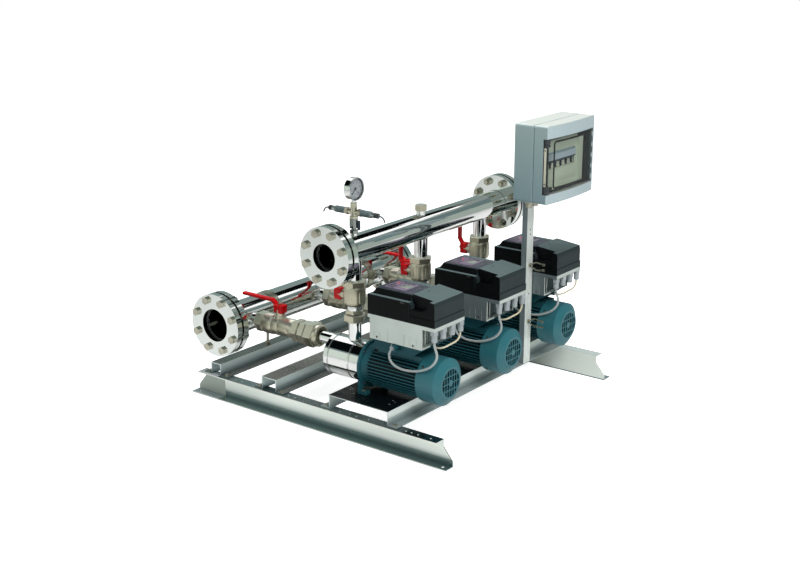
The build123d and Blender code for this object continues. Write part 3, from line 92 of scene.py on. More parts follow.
def nurbs(name, points, radius):
    """A smooth tube on a NURBS line with these control points."""
    data = bpy.data.curves.new(name, "CURVE")
    data.dimensions = "3D"
    data.resolution_u = 8
    data.bevel_depth = 1.0
    data.bevel_resolution = 5
    data.use_fill_caps = True
    spline = data.splines.new("NURBS")
    spline.points.add(len(points) - 1)
    for point, place in zip(spline.points, points):
        point.co = (*place, 1.0)
        point.radius = radius
    spline.order_u = 3
    spline.use_endpoint_u = True
    obj = bpy.data.objects.new(name, data)
    scene.collection.objects.link(obj)
    return obj


def cable(name, points, radius, node, row=0.0):
    """A cord of fixed length in place of the model's own, moved along Y to its row."""
    placed = [(x, y + row, z) for x, y, z in points]
    obj = nurbs(name, placed, radius)
    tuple(placed[0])
    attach(obj, "base")
    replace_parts(obj, node)
    return obj


cables = {"grey_cable": [], "cream_cable": [], "dark_cable": []}
for number, row in enumerate(pump_rows, start=1):
    cables["grey_cable"].append(cable(
        f"motor_cable_line_{number}", motor_route, 0.004,
        f"motor_cable_{number}", row))
    cables["cream_cable"].append(cable(
        f"sensor_cable_line_{number}", sensor_route, 0.003,
        f"sensor_cable_{number}", row))
for name, route, node in (("front_lead_line", front_lead_route, "transmitter_lead_1"),
                          ("rear_lead_line", rear_lead_route, "transmitter_lead_2")):
    cables["dark_cable"].append(cable(name, route, 0.0025, node))


# Materials

def feed(tree, socket, value):
    """Sets an input to a value, or links an output to it."""
    if isinstance(value, bpy.types.NodeSocket):
        tree.links.new(value, socket)
    else:
        socket.default_value = value


def add_node(tree, kind, inputs=None, **settings):
    """A node with its settings, and with its inputs fed by name or by number."""
    node = tree.nodes.new("ShaderNode" + kind)
    for name, value in settings.items():
        setattr(node, name, value)
    for name, value in (inputs or {}).items():
        feed(tree, node.inputs[name], value)
    return node


class Shader:
    """A node material with one principled shader, in the object's coordinates in metres.

    Some base colours change by place or by facing to copy reflections and shade in the photograph.
    They are fixed to the object, so they stay as paint in other views.
    """

    def __init__(self, name, metallic=0.0, roughness=0.5, colour=(0.8, 0.8, 0.8), edge=0.0008):
        self.material = bpy.data.materials.new(name)
        self.material.use_nodes = True
        self.material.diffuse_color = (*colour, 1)
        self.tree = self.material.node_tree
        self.shader = self.tree.nodes["Principled BSDF"]
        self.set(Metallic=metallic, Roughness=roughness, Base_Color=(*colour, 1))
        self.place = self.add("TexCoord").outputs["Object"]
        if edge:
            self.normal = self.add("Bevel", {"Radius": edge}, samples=4).outputs["Normal"]
            self.set(Normal=self.normal)

    def add(self, kind, inputs=None, **settings):
        return add_node(self.tree, kind, inputs, **settings)

    def set(self, **values):
        """Feeds the shader's inputs, with _ for the spaces in their names."""
        for name, value in values.items():
            feed(self.tree, self.shader.inputs[name.replace("_", " ")], value)

    def noise(self, scale, detail=3.0, rough=0.5, stretch=None):
        place = self.place
        if stretch:
            place = self.add("Mapping", {"Vector": place, "Scale": stretch}).outputs["Vector"]
        return self.add("TexNoise", {"Vector": place, "Scale": scale, "Detail": detail,
                                     "Roughness": rough}).outputs["Fac"]

    def math(self, kind, *values):
        return self.add("Math", dict(enumerate(values)), operation=kind).outputs["Value"]

    def times(self, first, *others):
        for other in others:
            first = self.math("MULTIPLY", first, other)
        return first

    def range(self, value, low, high, start=0.3, end=0.7):
        """Goes from low to high while the value goes from start to end."""
        return self.add("MapRange", {"Value": value, "From Min": start, "From Max": end,
                                     "To Min": low, "To Max": high}).outputs["Result"]

    def ramp(self, value, *stops):
        """Colours or greys at places along a value."""
        node = self.add("ValToRGB", {"Fac": value})
        points = node.color_ramp.elements
        points[0].position = stops[0][0]
        points[1].position = stops[-1][0]
        for where, _ in stops[1:-1]:
            points.new(where)
        for point, (_, colour) in zip(points, stops):
            point.color = (*(colour if hasattr(colour, "__len__") else [colour] * 3), 1)
        return node.outputs["Color"]

    def zones(self, value, *stops):
        """Colours or greys that change at sharp places along a value from 0 to 1."""
        colour = self.ramp(value, *stops)
        colour.node.color_ramp.interpolation = "CONSTANT"
        return colour

    def mix(self, factor, first, second):
        node = self.add("Mix", {"Factor": factor}, data_type="RGBA")
        for name, value in (("A", first), ("B", second)):
            socket = next(s for s in node.inputs if s.name == name and s.type == "RGBA")
            feed(self.tree, socket, (*value, 1) if hasattr(value, "__len__") else value)
        return next(s for s in node.outputs if s.type == "RGBA")

    def mottled(self, scale, detail, dark, light):
        """Two close tones in soft patches."""
        return self.mix(self.range(self.noise(scale, detail), 0.0, 1.0), dark, light)

    def axis(self, name):
        return self.add("SeparateXYZ", {"Vector": self.place}).outputs[name]

    def past(self, axis, start, end):
        """Nought before a place along an axis, and one past it."""
        return self.range(self.axis(axis), 0.0, 1.0, start, end)

    def before(self, axis, start, end):
        """One before a place along an axis, and nought past it."""
        return self.range(self.axis(axis), 1.0, 0.0, start, end)

    def near(self, axis, middle, start, end):
        """One near a place along an axis, and nought away from it."""
        away = self.math("ABSOLUTE", self.math("SUBTRACT", self.axis(axis), middle))
        return self.range(away, 1.0, 0.0, start, end)

    def across_row(self):
        """Distance in Y from the axis of the nearest pump."""
        wrapped = self.math("WRAP", self.axis("Y"), 1.5 * row_pitch, 0.5 * row_pitch)
        return self.math("SUBTRACT", wrapped, row_pitch)

    def facing(self, name, start=0.6, end=0.9):
        """One where the surface looks along an axis, and nought where it looks elsewhere."""
        normal = self.add("TexCoord").outputs["Normal"]
        along = self.add("SeparateXYZ", {"Vector": normal}).outputs[name]
        return self.range(along, 0.0, 1.0, start, end)

    def hollows(self, reach, start, end):
        """One down in grooves and corners, and nought on open faces."""
        node = self.add("AmbientOcclusion", {"Distance": reach}, samples=8)
        return self.range(node.outputs["AO"], 1.0, 0.0, start, end)

    def edges(self, width=0.0015):
        """One near a sharp edge, and nought away from it."""
        wide = self.add("Bevel", {"Radius": width}, samples=4).outputs["Normal"]
        flat = self.add("NewGeometry").outputs["Normal"]
        dot = self.add("VectorMath", {0: wide, 1: flat}, operation="DOT_PRODUCT")
        return self.range(dot.outputs["Value"], 1.0, 0.0, 0.85, 0.995)

    def bump(self, height, strength, distance=0.0003):
        node = self.add("Bump", {"Strength": strength, "Distance": distance, "Height": height,
                                 "Normal": self.normal})
        self.normal = node.outputs["Normal"]
        self.set(Normal=self.normal)

    def skin(self, scale, low, high, grain, relief, detail=3.0):
        """Roughness that changes in patches, and a fine grain."""
        self.set(Roughness=self.range(self.noise(scale, detail), low, high))
        self.bump(self.noise(grain, 2.0), relief)

    def rolled(self, stretch, low, high, relief):
        """Roughness and relief from rolling marks along a sheet. Returns the marks."""
        marks = self.noise(4.0, 5.0, 0.6, stretch)
        self.set(Roughness=self.range(marks, low, high))
        self.bump(marks, relief)
        return marks


def polished(name, colour, low, high, stretch, wave=0.12):
    """Bright stainless steel with faint rolling marks along one direction."""
    s = Shader(name, metallic=1.0)
    darker = [c * 0.93 for c in colour]
    s.set(Base_Color=s.ramp(s.noise(6.0, 3.0), (0.35, darker), (0.65, colour)),
          Roughness=s.range(s.noise(9.0, 5.0, 0.6, stretch), low, high))
    s.bump(s.noise(14.0, 2.0, 0.4), wave, 0.0006)
    return s.material


def painted(name, dark, light, roughness, peel, scale, shine=0.5, coat=0.0):
    """Paint or moulded plastic with a fine skin and slight changes of colour."""
    s = Shader(name)
    s.set(Base_Color=s.mottled(7.0, 4.0, dark, light), Specular_IOR_Level=shine,
          Coat_Weight=coat, Coat_Roughness=0.12)
    s.skin(30.0, roughness - 0.06, roughness + 0.08, scale, peel)
    return s.material


def galvanised():
    """Zinc-coated rails with painted light: pale webs with painted shade towards the foot,
    painted dark reflections on the upper faces and the foot, painted highlights on the sheet edges.

    The slanted ends on the suction side and the far rail are painted paler, as a painted
    reflection, and are not metallic.
    """
    s = Shader("galvanised", edge=0.0015)
    marks = s.rolled((1.5, 60.0, 60.0), 0.16, 0.26, 0.02)
    # Masks for painted reflections: the slanted ends, the far rail, and a run along X.
    end = s.before("X", -0.421, -0.419)
    far = s.past("Y", 0.300, 0.302)
    along = s.past("X", -0.50, 0.50)
    # Painted shade and reflection on the webs: dark at the foot, pale higher up.
    painted_web = s.ramp(s.times(s.axis("Z"), 10.0), (0.040, (0.11, 0.15, 0.16)),
                 (0.10, (0.26, 0.33, 0.33)), (0.22, (0.46, 0.53, 0.52)),
                 (0.36, (0.76, 0.83, 0.78)), (0.62, (0.84, 0.91, 0.84)),
                 (0.84, (0.70, 0.78, 0.74)))
    painted_web = s.mix(end, painted_web, (0.50, 0.58, 0.51))
    painted_web = s.mix(far, painted_web, (0.88, 0.95, 0.87))
    # Painted dark reflection on the upper faces, darker along X, paler on the far rail.
    top = s.ramp(along, (0.0, (0.55, 0.60, 0.60)), (0.5, (0.42, 0.48, 0.49)),
                 (1.0, (0.10, 0.16, 0.18)))
    top = s.mix(far, top, (0.52, 0.60, 0.58))
    # Painted dark reflection on the upward face of the foot, darker along X.
    foot = s.ramp(along, (0.0, (0.26, 0.32, 0.33)), (0.5, (0.22, 0.30, 0.32)),
                  (1.0, (0.17, 0.24, 0.26)))
    # Painted highlight along the outer sheet edges.
    edge = s.range(s.math("ABSOLUTE", s.axis("Y")), 0.0, 1.0, 0.5098, 0.5106)
    tone = s.mix(s.past("Z", 0.0843, 0.0848), painted_web, top)
    tone = s.mix(s.before("Z", 0.0041, 0.0046), tone, foot)
    tone = s.mix(edge, tone, (0.84, 0.87, 0.82))
    s.set(Base_Color=s.mix(s.range(marks, 0.0, 0.10), tone, (0.50, 0.53, 0.52)),
          Metallic=s.range(s.math("MAXIMUM", end, far), 1.0, 0.0, 0.0, 1.0))
    return s.material


def members_steel():
    """The same sheet on the hat profiles: brown-grey tops, a painted reflection, and sides with
    painted shade, darker towards their feet.
    """
    s = Shader("members_steel", metallic=0.6, edge=0.0015)
    marks = s.rolled((60.0, 1.5, 60.0), 0.16, 0.28, 0.03)
    # Painted shade on the sides, darker towards their feet.
    side = s.ramp(s.times(s.axis("Z"), 5.0), (0.440, (0.14, 0.20, 0.21)),
                  (0.48, (0.32, 0.41, 0.42)), (0.56, (0.62, 0.74, 0.73)),
                  (0.65, (0.80, 0.92, 0.88)))
    # Painted reflection: the upward faces are a dark brown-grey.
    tone = s.mix(s.facing("Z"), side, (0.26, 0.27, 0.25))
    s.set(Base_Color=s.mix(s.range(marks, 0.0, 0.05), tone, (0.60, 0.66, 0.62)))
    return s.material


def post_steel():
    """The same sheet on the upright post: pale, with painted shade making its near side slate."""
    s = Shader("post_steel", metallic=0.12, edge=0.0010)
    marks = s.rolled((60.0, 60.0, 1.5), 0.24, 0.34, 0.02)
    # Painted shade: the near side is slate.
    tone = s.mix(s.facing("Y", -0.6, -0.9), (0.86, 0.92, 0.87), (0.17, 0.22, 0.24))
    s.set(Base_Color=s.mix(s.range(marks, 0.0, 0.12), tone, (0.50, 0.54, 0.52)))
    return s.material


def platform_steel():
    """The same sheet, with painted shade darker towards the bottom,
    and black on the top that the motors stand on.
    """
    s = Shader("platform_steel", edge=0.0012)
    s.rolled((60.0, 1.5, 60.0), 0.16, 0.26, 0.02)
    # Painted shade: the steel darkens towards the bottom.
    steel = s.ramp(s.times(s.axis("Z"), 5.0), (0.440, (0.40, 0.47, 0.47)),
                   (0.50, (0.52, 0.60, 0.60)), (0.58, (0.80, 0.88, 0.84)),
                   (0.66, (0.74, 0.82, 0.79)))
    # Black on the top that the motors stand on.
    black_top = s.mottled(20.0, 4.0, (0.002, 0.004, 0.005), (0.005, 0.008, 0.009))
    top = s.past("Z", 0.1330, 0.1336)
    s.set(Base_Color=s.mix(top, steel, black_top), Specular_IOR_Level=0.12,
          Metallic=s.range(top, 0.55, 0.0, 0.0, 1.0))
    return s.material


def nickel_brass():
    """Nickel-plated brass: satin, with painted highlights above and at its edges,
    and painted shade below and in its grooves.
    """
    s = Shader("nickel_brass", metallic=0.88, edge=0.0012)
    tone = s.mottled(12.0, 3.0, (0.50, 0.48, 0.36), (0.58, 0.55, 0.42))
    # Painted highlight on upward faces and painted shade on downward faces.
    tone = s.mix(s.facing("Z", 0.20, 0.80), tone, (1.0, 0.97, 0.82))
    tone = s.mix(s.facing("Z", 0.0, -0.7), tone, (0.17, 0.16, 0.12))
    # Painted highlight on the edges, and painted shade from occlusion in the grooves.
    tone = s.mix(s.edges(), tone, (1.0, 0.96, 0.80))
    s.set(Base_Color=s.mix(s.hollows(0.006, 0.20, 0.60), tone, (0.04, 0.04, 0.03)))
    s.skin(60.0, 0.285, 0.32, 900.0, 0.04)
    return s.material


def gauge_stem_skin():
    """Nickel round the cross and above it, bright plate on the small valve and nipple below."""
    s = Shader("gauge_stem_skin", metallic=1.0)
    tone = s.mottled(12.0, 3.0, (0.56, 0.55, 0.43), (0.64, 0.62, 0.49))
    low = s.before("Z", 0.691, 0.693)
    s.set(Base_Color=s.mix(low, tone, (0.26, 0.29, 0.27)),
          Roughness=s.range(low, 0.22, 0.07, 0.0, 1.0))
    s.bump(s.noise(500.0, 2.0), 0.04)
    return s.material


def zinc(name, dark, light):
    """Plated or blackened fasteners."""
    s = Shader(name, metallic=1.0, edge=0.0009)
    s.set(Base_Color=s.mottled(40.0, 3.0, dark, light))
    s.skin(120.0, 0.22, 0.38, 500.0, 0.15, detail=4.0)
    return s.material


def cast_alloy():
    """Die-cast aluminium under thin silver paint, with painted shade in its slots
    and low on its front.

    The rear two have painted shade on their near sides.
    """
    s = Shader("cast_alloy", metallic=0.45, edge=0.0010)
    tone = s.mottled(12.0, 4.0, (0.54, 0.61, 0.57), (0.62, 0.69, 0.65))
    # Painted shade on the near sides of the rear two.
    shade = s.times(s.past("Y", -0.24, -0.16), s.facing("Y", -0.5, -0.9))
    tone = s.mix(shade, tone, (0.17, 0.21, 0.22))
    # Painted shade low on the front face, across each inverter's width.
    across = s.across_row()
    behind = s.times(s.range(across, 0.0, 1.0, -0.0345, -0.0335),
                     s.range(across, 1.0, 0.0, 0.0760, 0.0770),
                     s.before("Z", 0.3955, 0.3965), s.facing("X"))
    tone = s.mix(behind, tone, (0.022, 0.060, 0.070))
    # Painted shade from occlusion in the slots.
    s.set(Base_Color=s.mix(s.hollows(0.010, 0.15, 0.60), tone, (0.010, 0.012, 0.012)))
    s.skin(40.0, 0.38, 0.52, 900.0, 0.25)
    return s.material


def cover_plastic():
    """Black moulded covers with a painted slate sheen on their top faces
    and a painted lighter front.
    """
    s = Shader("cover_plastic", edge=0.0010)
    tone = s.mottled(7.0, 4.0, (0.0020, 0.0030, 0.0034), (0.0036, 0.0048, 0.0054))
    # Painted reflection: the front faces are a lighter black.
    tone = s.mix(s.facing("X", 0.5, 0.9), tone, (0.026, 0.038, 0.041))
    # Painted sheen on the top faces.
    painted_sheen = s.times(s.facing("Z", 0.90, 0.99), s.past("Z", 0.474, 0.478))
    s.set(Base_Color=s.mix(painted_sheen, tone, (0.090, 0.124, 0.126)), Specular_IOR_Level=0.09)
    s.skin(30.0, 0.34, 0.46, 1200.0, 0.25)
    return s.material


def motor_frame():
    """Blue-green enamel, with painted shade down in the gaps between the cooling fins."""
    s = Shader("motor_frame")
    across = s.across_row()
    high = s.math("SUBTRACT", s.axis("Z"), motor_axis_z)
    radius = s.math("SQRT", s.math("ADD", s.times(across, across), s.times(high, high)))
    # Painted shade in the gaps between the fins.
    fins = s.times(s.past("X", 0.172, 0.178), s.range(radius, 1.0, 0.0, 0.0615, 0.0700))
    tone = s.mottled(7.0, 4.0, (0.013, 0.082, 0.101), (0.019, 0.110, 0.133))
    s.set(Base_Color=s.mix(fins, tone, (0.001, 0.006, 0.008)), Specular_IOR_Level=0.20)
    s.skin(30.0, 0.32, 0.46, 500.0, 0.30)
    return s.material


def gland_plastic():
    """Grey cable glands under the inverters, and plated ones under the panel."""
    s = Shader("gland_plastic")
    high = s.past("Z", 0.59, 0.61)
    grey = s.mottled(40.0, 3.0, (0.32, 0.37, 0.38), (0.40, 0.45, 0.46))
    s.set(Base_Color=s.mix(high, grey, (0.50, 0.49, 0.40)), Metallic=high)
    s.skin(60.0, 0.30, 0.42, 700.0, 0.2)
    return s.material


def transmitter_skin():
    """Nickel hex, slate body, plated ring and dark plug, by distance from the cross's middle."""
    s = Shader("transmitter_skin", edge=0.0006)
    away = s.math("ABSOLUTE", s.math("SUBTRACT", s.axis("X"), riser_x))
    away = s.times(away, 8.0)
    tone = s.zones(away, (0.0, (0.60, 0.56, 0.46)), (0.256, (0.13, 0.18, 0.19)),
                   (0.60, (0.55, 0.57, 0.56)), (0.68, (0.035, 0.042, 0.045)),
                   (0.90, (0.30, 0.31, 0.31)))
    fine = s.range(s.noise(60.0, 4.0), 0.75, 1.0)
    s.set(Base_Color=s.mix(fine, (0.02, 0.025, 0.028), tone),
          Metallic=s.zones(away, (0.0, 1.0), (0.256, 0.0), (0.60, 1.0), (0.68, 0.0), (0.90, 0.6)))
    s.skin(80.0, 0.28, 0.42, 600.0, 0.15)
    return s.material


def panel_skin(name, edge, recess=False):
    """Textured light plastic with a darker seam, painted shade on its near side and painted light
    on its top. With recess, dark round the plate inside it.
    """
    s = Shader(name, edge=edge)
    tone = s.mottled(7.0, 4.0, (0.45, 0.56, 0.585), (0.49, 0.60, 0.625))
    # Painted shade on the near side, darker towards the bottom.
    side = s.mix(s.past("Z", 0.66, 0.95), (0.19, 0.29, 0.32), (0.29, 0.39, 0.385))
    tone = s.mix(s.facing("Y", -0.5, -0.95), tone, side)
    # Painted light: the top is paler.
    tone = s.mix(s.facing("Z"), tone, (0.535, 0.570, 0.535))
    tone = s.mix(s.near("X", panel_seam_x, 0.0014, 0.0019), tone, (0.17, 0.25, 0.28))
    if recess:
        opening = s.times(s.past("Y", 0.1424, 0.1428), s.before("Y", 0.4450, 0.4454),
                          s.before("X", 0.4612, 0.4616), s.near("Z", 0.8215, 0.0930, 0.0934))
        plate = s.times(s.near("Y", 0.303, 0.0975, 0.0979), s.near("Z", 0.815, 0.0795, 0.0799))
        floor = s.mix(plate, (0.030, 0.040, 0.042), (0.74, 0.86, 0.69))
        tone = s.mix(opening, tone, floor)
    s.set(Base_Color=tone)
    s.skin(30.0, 0.36, 0.50, 1500.0, 0.25)
    return s.material


def breaker_plastic():
    """Light noses with a dark strip under them, and plate-coloured housings round the toggles."""
    s = Shader("breaker_plastic")
    height = s.times(s.math("SUBTRACT", s.axis("Z"), 0.78), 10.0)
    bands = s.zones(height, (0.0, (0.78, 0.85, 0.67)), (0.430, (0.020, 0.050, 0.075)),
                    (0.545, (0.58, 0.74, 0.80)))
    patches = s.range(s.noise(20.0, 3.0), 0.0, 0.3)
    s.set(Base_Color=s.mix(patches, bands, (0.40, 0.46, 0.47)))
    s.skin(50.0, 0.30, 0.42, 1200.0, 0.2)
    return s.material


def clear_plastic(name, colour, roughness, cover, rim=0.0):
    """Clear sheet with slight waves; cover and rim are the shares that its face and edge hide."""
    s = Shader(name, roughness=roughness, colour=colour)
    hidden = s.range(s.noise(12.0, 2.0), cover - 0.02, cover + 0.02)
    if rim:
        hidden = s.math("MAXIMUM", hidden, s.times(s.edges(0.0030), rim))
    s.set(Alpha=hidden, Roughness=s.range(s.noise(40.0, 2.0), roughness, roughness + 0.05))
    s.bump(s.noise(9.0, 2.0), 0.08, 0.0005)
    return s.material


def red_lamp():
    """A small red lamp under a lens."""
    s = Shader("red_lamp", roughness=0.2, colour=(0.6, 0.005, 0.01))
    s.set(Base_Color=s.mottled(400.0, 2.0, (0.55, 0.004, 0.010), (0.75, 0.010, 0.016)),
          Emission_Color=(1.0, 0.02, 0.03, 1), Emission_Strength=0.35)
    return s.material


# Paints and plastics: dark and light tone, roughness, relief and scale of the grain, shine, coat
paints = {
    "lever_paint": ((0.50, 0.0, 0.003), (0.62, 0.001, 0.005), 0.22, 0.08, 300.0, 0.28),
    "motor_paint": ((0.010, 0.066, 0.082), (0.016, 0.090, 0.110), 0.36, 0.30, 500.0, 0.15),
    # Painted light: the cowl's teal is lighter than the motor frame's.
    "cowl_paint": ((0.022, 0.135, 0.165), (0.030, 0.165, 0.195), 0.42, 0.25, 900.0),
    "keypad_foil": ((0.024, 0.022, 0.040), (0.036, 0.034, 0.056), 0.3, 0.10, 900.0),
    "keypad_panel": ((0.13, 0.095, 0.15), (0.18, 0.14, 0.20), 0.3, 0.15, 500.0),
    "keypad_band": ((0.034, 0.036, 0.056), (0.048, 0.050, 0.072), 0.3, 0.10, 900.0),
    "keypad_display": ((0.17, 0.20, 0.18), (0.24, 0.27, 0.24), 0.12, 0.05, 200.0, 0.5, 0.6),
    "grey_cable": ((0.36, 0.41, 0.41), (0.44, 0.49, 0.49), 0.30, 0.15, 500.0),
    "cream_cable": ((0.66, 0.60, 0.42), (0.78, 0.72, 0.54), 0.35, 0.2, 500.0),
    "dark_cable": ((0.09, 0.12, 0.13), (0.15, 0.18, 0.19), 0.4, 0.2, 500.0),
    "plate_plastic": ((0.70, 0.82, 0.65), (0.76, 0.88, 0.71), 0.4, 0.2, 1500.0),
    "strip_plastic": ((0.52, 0.52, 0.40), (0.60, 0.60, 0.48), 0.4, 0.2, 1500.0),
    "toggle_plastic": ((0.010, 0.024, 0.040), (0.020, 0.036, 0.056), 0.35, 0.2, 1500.0),
    "gasket_rubber": ((0.010, 0.011, 0.012), (0.020, 0.021, 0.022), 0.5, 0.3, 900.0),
    "hinge_plastic": ((0.030, 0.036, 0.040), (0.046, 0.052, 0.056), 0.4, 0.3, 900.0),
    "pointer_paint": ((0.010, 0.010, 0.012), (0.018, 0.018, 0.020), 0.4, 0.1, 900.0),
    "dial_paint": ((0.38, 0.42, 0.43), (0.45, 0.49, 0.50), 0.4, 0.1, 900.0),
    "dial_ink": ((0.12, 0.03, 0.34), (0.18, 0.05, 0.46), 0.4, 0.1, 900.0),
}
finishes = {name: painted(f"{name}_look", *look) for name, look in paints.items()}
finishes.update({
    "polished_pipe": polished("pipe_look", (0.86, 0.88, 0.86), 0.03, 0.08, (8.0, 1.0, 8.0)),
    "flange_steel": polished("flange_look", (0.83, 0.88, 0.84), 0.04, 0.09, (3.0, 3.0, 3.0), 0.06),
    "core_steel": polished("core_look", (0.42, 0.42, 0.41), 0.3, 0.45, (1.0, 20.0, 20.0)),
    "galvanised_steel": galvanised(),
    "members": members_steel(),
    "post": post_steel(),
    "platform": platform_steel(),
    "nickel_brass": nickel_brass(),
    "gauge_stem": gauge_stem_skin(),
    "zinc_fasteners": zinc("zinc", (0.42, 0.41, 0.33), (0.60, 0.58, 0.48)),
    "dark_screws": zinc("dark_screws", (0.10, 0.11, 0.11), (0.20, 0.21, 0.21)),
    "cover_plastic": cover_plastic(),
    "heatsink_alloy": cast_alloy(),
    "motor_frame": motor_frame(),
    "gland_plastic": gland_plastic(),
    "transmitter": transmitter_skin(),
    "panel_plastic": panel_skin("panel_skin", 0.0030),
    "panel_front": panel_skin("panel_front_skin", 0.0016, recess=True),
    "breaker_plastic": breaker_plastic(),
    "red_lamp": red_lamp(),
    "clear_door": clear_plastic("clear_door_look", (0.030, 0.036, 0.032), 0.05, 0.17, 0.70),
    "gauge_glass": clear_plastic("gauge_glass_look", (0.30, 0.32, 0.32), 0.03, 0.08),
})
node_finishes = {"pump_platform": "platform", "cross_members": "members", "panel_post": "post",
                 "panel_front": "panel_front", "gauge_stem": "gauge_stem",
                 "motor_frames": "motor_frame", "pressure_transmitters": "transmitter"}

for name, obj in nodes.items():
    slot = obj.data.materials[0].name
    obj.material_slots[0].link = "OBJECT"
    obj.material_slots[0].material = finishes[node_finishes.get(name, slot)]
for slot, made in cables.items():
    for obj in made:
        obj.data.materials.append(finishes[slot])


# Pieces in mesh code

class Build:
    """Points and faces gathered into one mesh."""

    def __init__(self):
        self.points, self.faces = [], []

    def rings(self, rings, loop=False):
        """A skin over rings of points, closed at its ends or joined round to its start."""
        first = len(self.points)
        count = len(rings[0])
        for ring in rings:
            self.points += [tuple(point) for point in ring]
        for row in range(len(rings) if loop else len(rings) - 1):
            low = first + row * count
            high = first + (row + 1) % len(rings) * count
            for corner in range(count):
                after = (corner + 1) % count
                self.faces.append((low + corner, low + after, high + after, high + corner))
        if not loop:
            last = first + (len(rings) - 1) * count
            self.faces.append(tuple(range(first + count - 1, first - 1, -1)))
            self.faces.append(tuple(range(last, last + count)))

    def piece(self, name, slot, body, finish=None, angle=35.0):
        """The mesh as an object on a body, smooth except where its faces meet above the angle."""
        mesh = bpy.data.meshes.new(name)
        mesh.from_pydata(self.points, [], self.faces)
        sheet = bmesh.new()
        sheet.from_mesh(mesh)
        bmesh.ops.recalc_face_normals(sheet, faces=sheet.faces)
        sheet.to_mesh(mesh)
        sheet.free()
        mesh.shade_smooth()
        mesh.set_sharp_from_angle(angle=radians(angle))
        mesh.materials.append(finishes[finish or slot])
        obj = bpy.data.objects.new(name, mesh)
        scene.collection.objects.link(obj)
        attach(obj, body)
        return obj


def turned(build, origin, axis, profile, steps=48, loop=False):
    """A turned form: its profile is distance along the axis and radius."""
    turn = Vector(axis).to_track_quat("Z", "Y")
    angles = [2 * pi * step / steps for step in range(steps)]
    build.rings([[Vector(origin) + turn @ Vector((radius * cos(angle), radius * sin(angle), along))
                  for angle in angles] for along, radius in profile], loop)


def outline(half_u, half_v, corner, runs=1, steps=4):
    """A rounded rectangle, with its straight sides divided into runs."""
    def on_arc(quarter, quarters_turned):
        side_u, side_v = ((1, 1), (-1, 1), (-1, -1), (1, -1))[quarter % 4]
        angle = quarters_turned * pi / 2
        return Vector((side_u * (half_u - corner) + corner * cos(angle),
                       side_v * (half_v - corner) + corner * sin(angle)))

    points = []
    for quarter in range(4):
        points += [on_arc(quarter, quarter + step / steps) for step in range(steps + 1)]
        here, goal = points[-1], on_arc(quarter + 1, quarter + 1)
        points += [here.lerp(goal, run / runs) for run in range(1, runs)]
    return points


def pad(build, place, half_u, half_v, corner, sections, runs=1, loop=False):
    """A raised pad, or with loop a frame, from sections of height and inset."""
    rings = []
    for height, inset in sections:
        flat = outline(half_u - inset, half_v - inset, max(corner - inset, 0.0001), runs)
        rings.append([place(u, v, height) for u, v in flat])
    build.rings(rings, loop)


def face(origin, u_axis, v_axis):
    """Places points on a plane: across, up and out of it."""
    origin, u_axis, v_axis = Vector(origin), Vector(u_axis), Vector(v_axis)
    out = u_axis.cross(v_axis)
    return lambda u, v, height: origin + u * u_axis + v * v_axis + height * out


def soft(height, rounding, sunk=0.0004):
    """Sections of a pad with a rounded top edge."""
    return [(-sunk, 0.0), (height - rounding, 0.0),
            (height - 0.3 * rounding, 0.3 * rounding), (height, rounding)]


def pan_head(radius, height, socket=0.45):
    """Profile of a screw head with a round recess."""
    return [(-0.0004, radius), (0.6 * height, radius), (height, 0.75 * radius),
            (height, socket * radius), (0.45 * height, 0.9 * socket * radius)]


# Gauge

gauge_row, gauge_z = pump_rows[0], 0.787
dial_start, dial_sweep, dial_top = -135.0, 270.0, 10


def on_gauge(x):
    """A place on the gauge's axis."""
    return (x, gauge_row, gauge_z)


case = Build()
turned(case, on_gauge(0.058), right, [
    (0.0, 0.0305), (0.0004, 0.0325), (0.0016, 0.0345), (0.0032, 0.0358), (0.0218, 0.0358),
    (0.0222, 0.0369), (0.0232, 0.0374), (0.0272, 0.0374), (0.0284, 0.0369), (0.0290, 0.0359),
    (0.0288, 0.0347), (0.0276, 0.0343), (0.0204, 0.0343), (0.0204, 0.0295)], 72)
turned(case, (riser_x, gauge_row, 0.742), up, [
    (0.0, 0.0066), (0.0004, 0.0069), (0.0146, 0.0069)], 32)
turned(case, (riser_x, gauge_row, 0.7445), up, [
    (0.0, 0.0068), (0.0004, 0.0069), (0.0050, 0.0069), (0.0056, 0.0066)], 6)
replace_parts(case.piece("gauge_shell", "polished_pipe", "base"), "gauge_case")

dial = Build()
turned(dial, on_gauge(0.0782), right, [
    (0.0, 0.0342), (0.0004, 0.0342), (0.00045, 0.0335), (0.0004, 0.0332)], 72)
dial.piece("gauge_dial", "plate_plastic", "base", "dial_paint")
dial_place = face(on_gauge(0.0786), ahead, up)
marks = Build()
for index in range(51):
    angle = radians(dial_start + dial_sweep * index / 50)
    inner, half = (0.0262, 0.00060) if index % 5 == 0 else (0.0292, 0.00026)
    corners = [(inner, -half), (0.0318, -half), (0.0318, half), (inner, half)]
    marks.rings([[dial_place(along * sin(angle) + across * cos(angle),
                             along * cos(angle) - across * sin(angle), height)
                  for along, across in corners] for height in (-0.0001, 0.00012)])
marks.piece("gauge_marks", "pointer_paint", "base", "dial_ink")
for number in range(0, dial_top + 2, 2):
    angle = radians(dial_start + dial_sweep * number / dial_top)
    data = bpy.data.curves.new(f"dial_number_{number}", "FONT")
    data.body = str(number)
    data.size = 0.0080
    data.extrude = 0.0001
    data.align_x = "CENTER"
    data.align_y = "CENTER"
    data.materials.append(finishes["dial_ink"])
    label = bpy.data.objects.new(f"dial_number_{number}", data)
    label.location = dial_place(0.0212 * sin(angle), 0.0212 * cos(angle), 0.0001)
    label.rotation_euler = Euler((pi / 2, 0.0, pi / 2))
    scene.collection.objects.link(label)
    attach(label, "base")
ring = Build()
